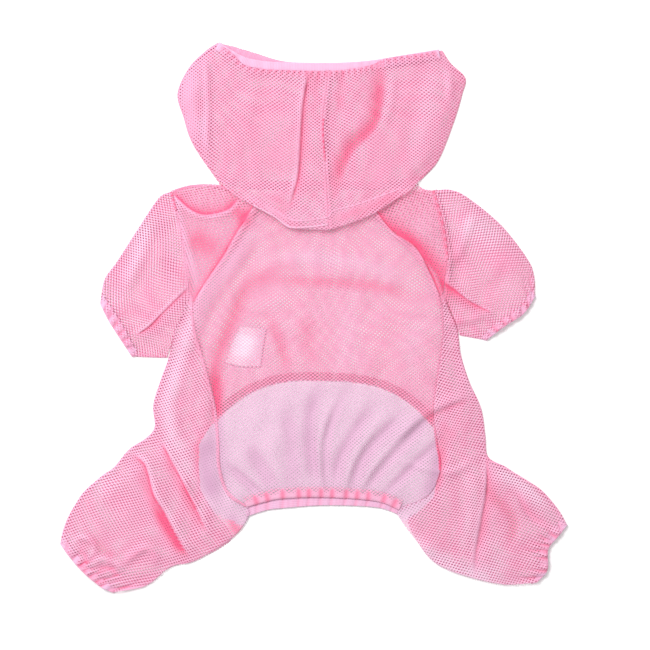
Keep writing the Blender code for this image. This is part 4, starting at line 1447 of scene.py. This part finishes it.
ribbon("armhole_left_allowance", "sleeve_left_net", ARMHOLE_LEFT, 1.5, -1.8,
       moved(body_top, -0.5, 0.5, 0.1))
ribbon("armhole_right_allowance", "sleeve_right_net", ARMHOLE_RIGHT, 2.5, -2.5,
       moved(body_top, -0.5, 0.6, 0.3))
ribbon("shoulder_left_edge", "shoulder_left_net",
       [(-99.6, 88.4), (-93, 90.6), (-85, 92.4), (-76, 93), (-67, 92.6), (-58, 90)],
       0.5, -1.3, moved(body_top, 0.0, 0.7, 0.35), 0.8)
ribbon("raglan_left_allowance", "back_net", RAGLAN_LEFT, 3.0, -1.0, moved(body_top, -0.5, 0.6, 0.0))
ribbon("raglan_right_allowance", "back_net", RAGLAN_RIGHT, 1.0, -3.0, moved(body_top, -0.5, 0.6, 0.1))
ribbon("hip_left_allowance", "back_net", HIP_LEFT, 1.1, -1.0, moved(body_top, 0.3, 0.5, 0.15), 0.9)
ribbon("hip_right_allowance", "back_net", HIP_RIGHT, 1.2, -1.2, moved(body_top, -0.5, 0.5, 0.1))
ribbon("hood_centre_allowance", "hood_left_net", HOOD_CENTRE, 1.8, -1.8, moved(hood_top, -0.5, 0.6, 0.1))
ribbon("neck_allowance", "hood_left_net", NECK, 3.0, -3.0, level(1.0, 0.15, -0.1), 1.5)
ribbon("armhole_right_seam", "sleeve_right_net", ARMHOLE_RIGHT[:4], 0.6, -0.6,
       moved(body_top, 0.35, 0.6, 0.3), 0.6, extra=dashes(9, 0.3, 0.5))
ribbon("armhole_left_seam", "sleeve_left_net", [(-99.8, 88.2), (-98, 82), (-96, 75)], 0.6, -0.6,
       moved(body_top, 0.35, 0.6, 0.3), 0.6, extra=dashes(5, 0.4, 0.7))
ribbon("hood_centre_seam", "hood_left_net", [(7, 139), (6.5, 131), (7, 122), (8, 110)], 0.6, -0.5,
       moved(hood_top, 0.35, 0.6, 0.4), 0.6, extra=dashes(8, 0.4, 0.6))
ribbon("neck_piping_low", "hood_left_net",
       [(-41.6, 78.4), (-27.6, 70.9), (-18.5, 64.2), (-12.9, 62.9), (-2.4, 63.4), (10.1, 65)],
       0.7, -0.6, moved(hood_top, 0.4, 0.7, -0.35), 0.6)
ribbon("neck_piping_high", "hood_left_net",
       [(-25.5, 74.4), (-16.4, 68.6), (-8.8, 67.6), (9.4, 70), (14, 74.5), (29, 78.5), (46, 84.5),
        (62, 90.5)],
       0.6, -0.5, moved(hood_top, 0.3, 0.5, -0.1), 0.6)
print("pieces with all seams and strips:", len(pieces))

# %% [markdown]
# ## The cut of every sheet
# A maker cuts each piece flat before it is sewn.  Its size is worked out here from
# the flat lines that the piece was drawn with, before any fold was laid in it.  The
# width is that of the widest line across it, all round where the piece is a tube or
# is turned over at its side.  The length is the mean length along it, and the area
# is that of its curved outline.  The narrow strips and tapes go with the sheet that
# they are sewn to.

# %% Cut sizes
Sheet = namedtuple("Sheet", "held rests_on")
SHEETS = {
    "back_net": Sheet("gathered", ["belly_net"]),
    "belly_net": Sheet("laid", ["floor"]),
    "shoulder_left_net": Sheet("laid", ["belly_net"]),
    "shoulder_right_net": Sheet("laid", ["belly_net"]),
    "hind_leg_left_net": Sheet("gathered", ["floor"]),
    "hind_leg_right_net": Sheet("gathered", ["floor"]),
    "sleeve_left_net": Sheet("gathered", ["floor"]),
    "sleeve_right_net": Sheet("gathered", ["floor"]),
    "hood_left_net": Sheet("gathered", ["floor", "back_net"]),
    "hood_right_net": Sheet("gathered", ["floor", "back_net"]),
    "care_label_satin": Sheet("laid", ["belly_net"]),
}


def cut_of(patches, steps=61):
    """Width all round, mean length and area of the flat cut, in metres."""
    shares = np.linspace(0, 1, steps)
    along, across = (grid.ravel() for grid in np.meshgrid(shares, shares, indexing="ij"))
    widths, length, area = np.zeros(steps), 0.0, 0.0
    for patch in patches:
        corners = patch(along, across).reshape(steps, steps, 2)
        cross, run = np.diff(corners, axis=1), np.diff(corners, axis=0)
        widths += np.linalg.norm(cross, axis=2).sum(1)
        length += np.linalg.norm(run, axis=2).sum(0).mean() / len(patches)
        cells = cross[:-1, :, 0] * run[:, :-1, 1] - cross[:-1, :, 1] * run[:, :-1, 0]
        area += np.abs(cells).sum()
    return round(widths.max() * MM, 3), round(length * MM, 3), round(area * MM ** 2, 5)


for name, sheet in SHEETS.items():
    piece = pieces[name]
    width, length, area = cut_of(patterns[name])
    sewn_on[name]
    laid = sum(polygon.area for polygon in piece.data.polygons)
    print(name, "cut", width, "x", length, "area", area, "laid", round(laid, 5), "strips", len(sewn_on[name]))
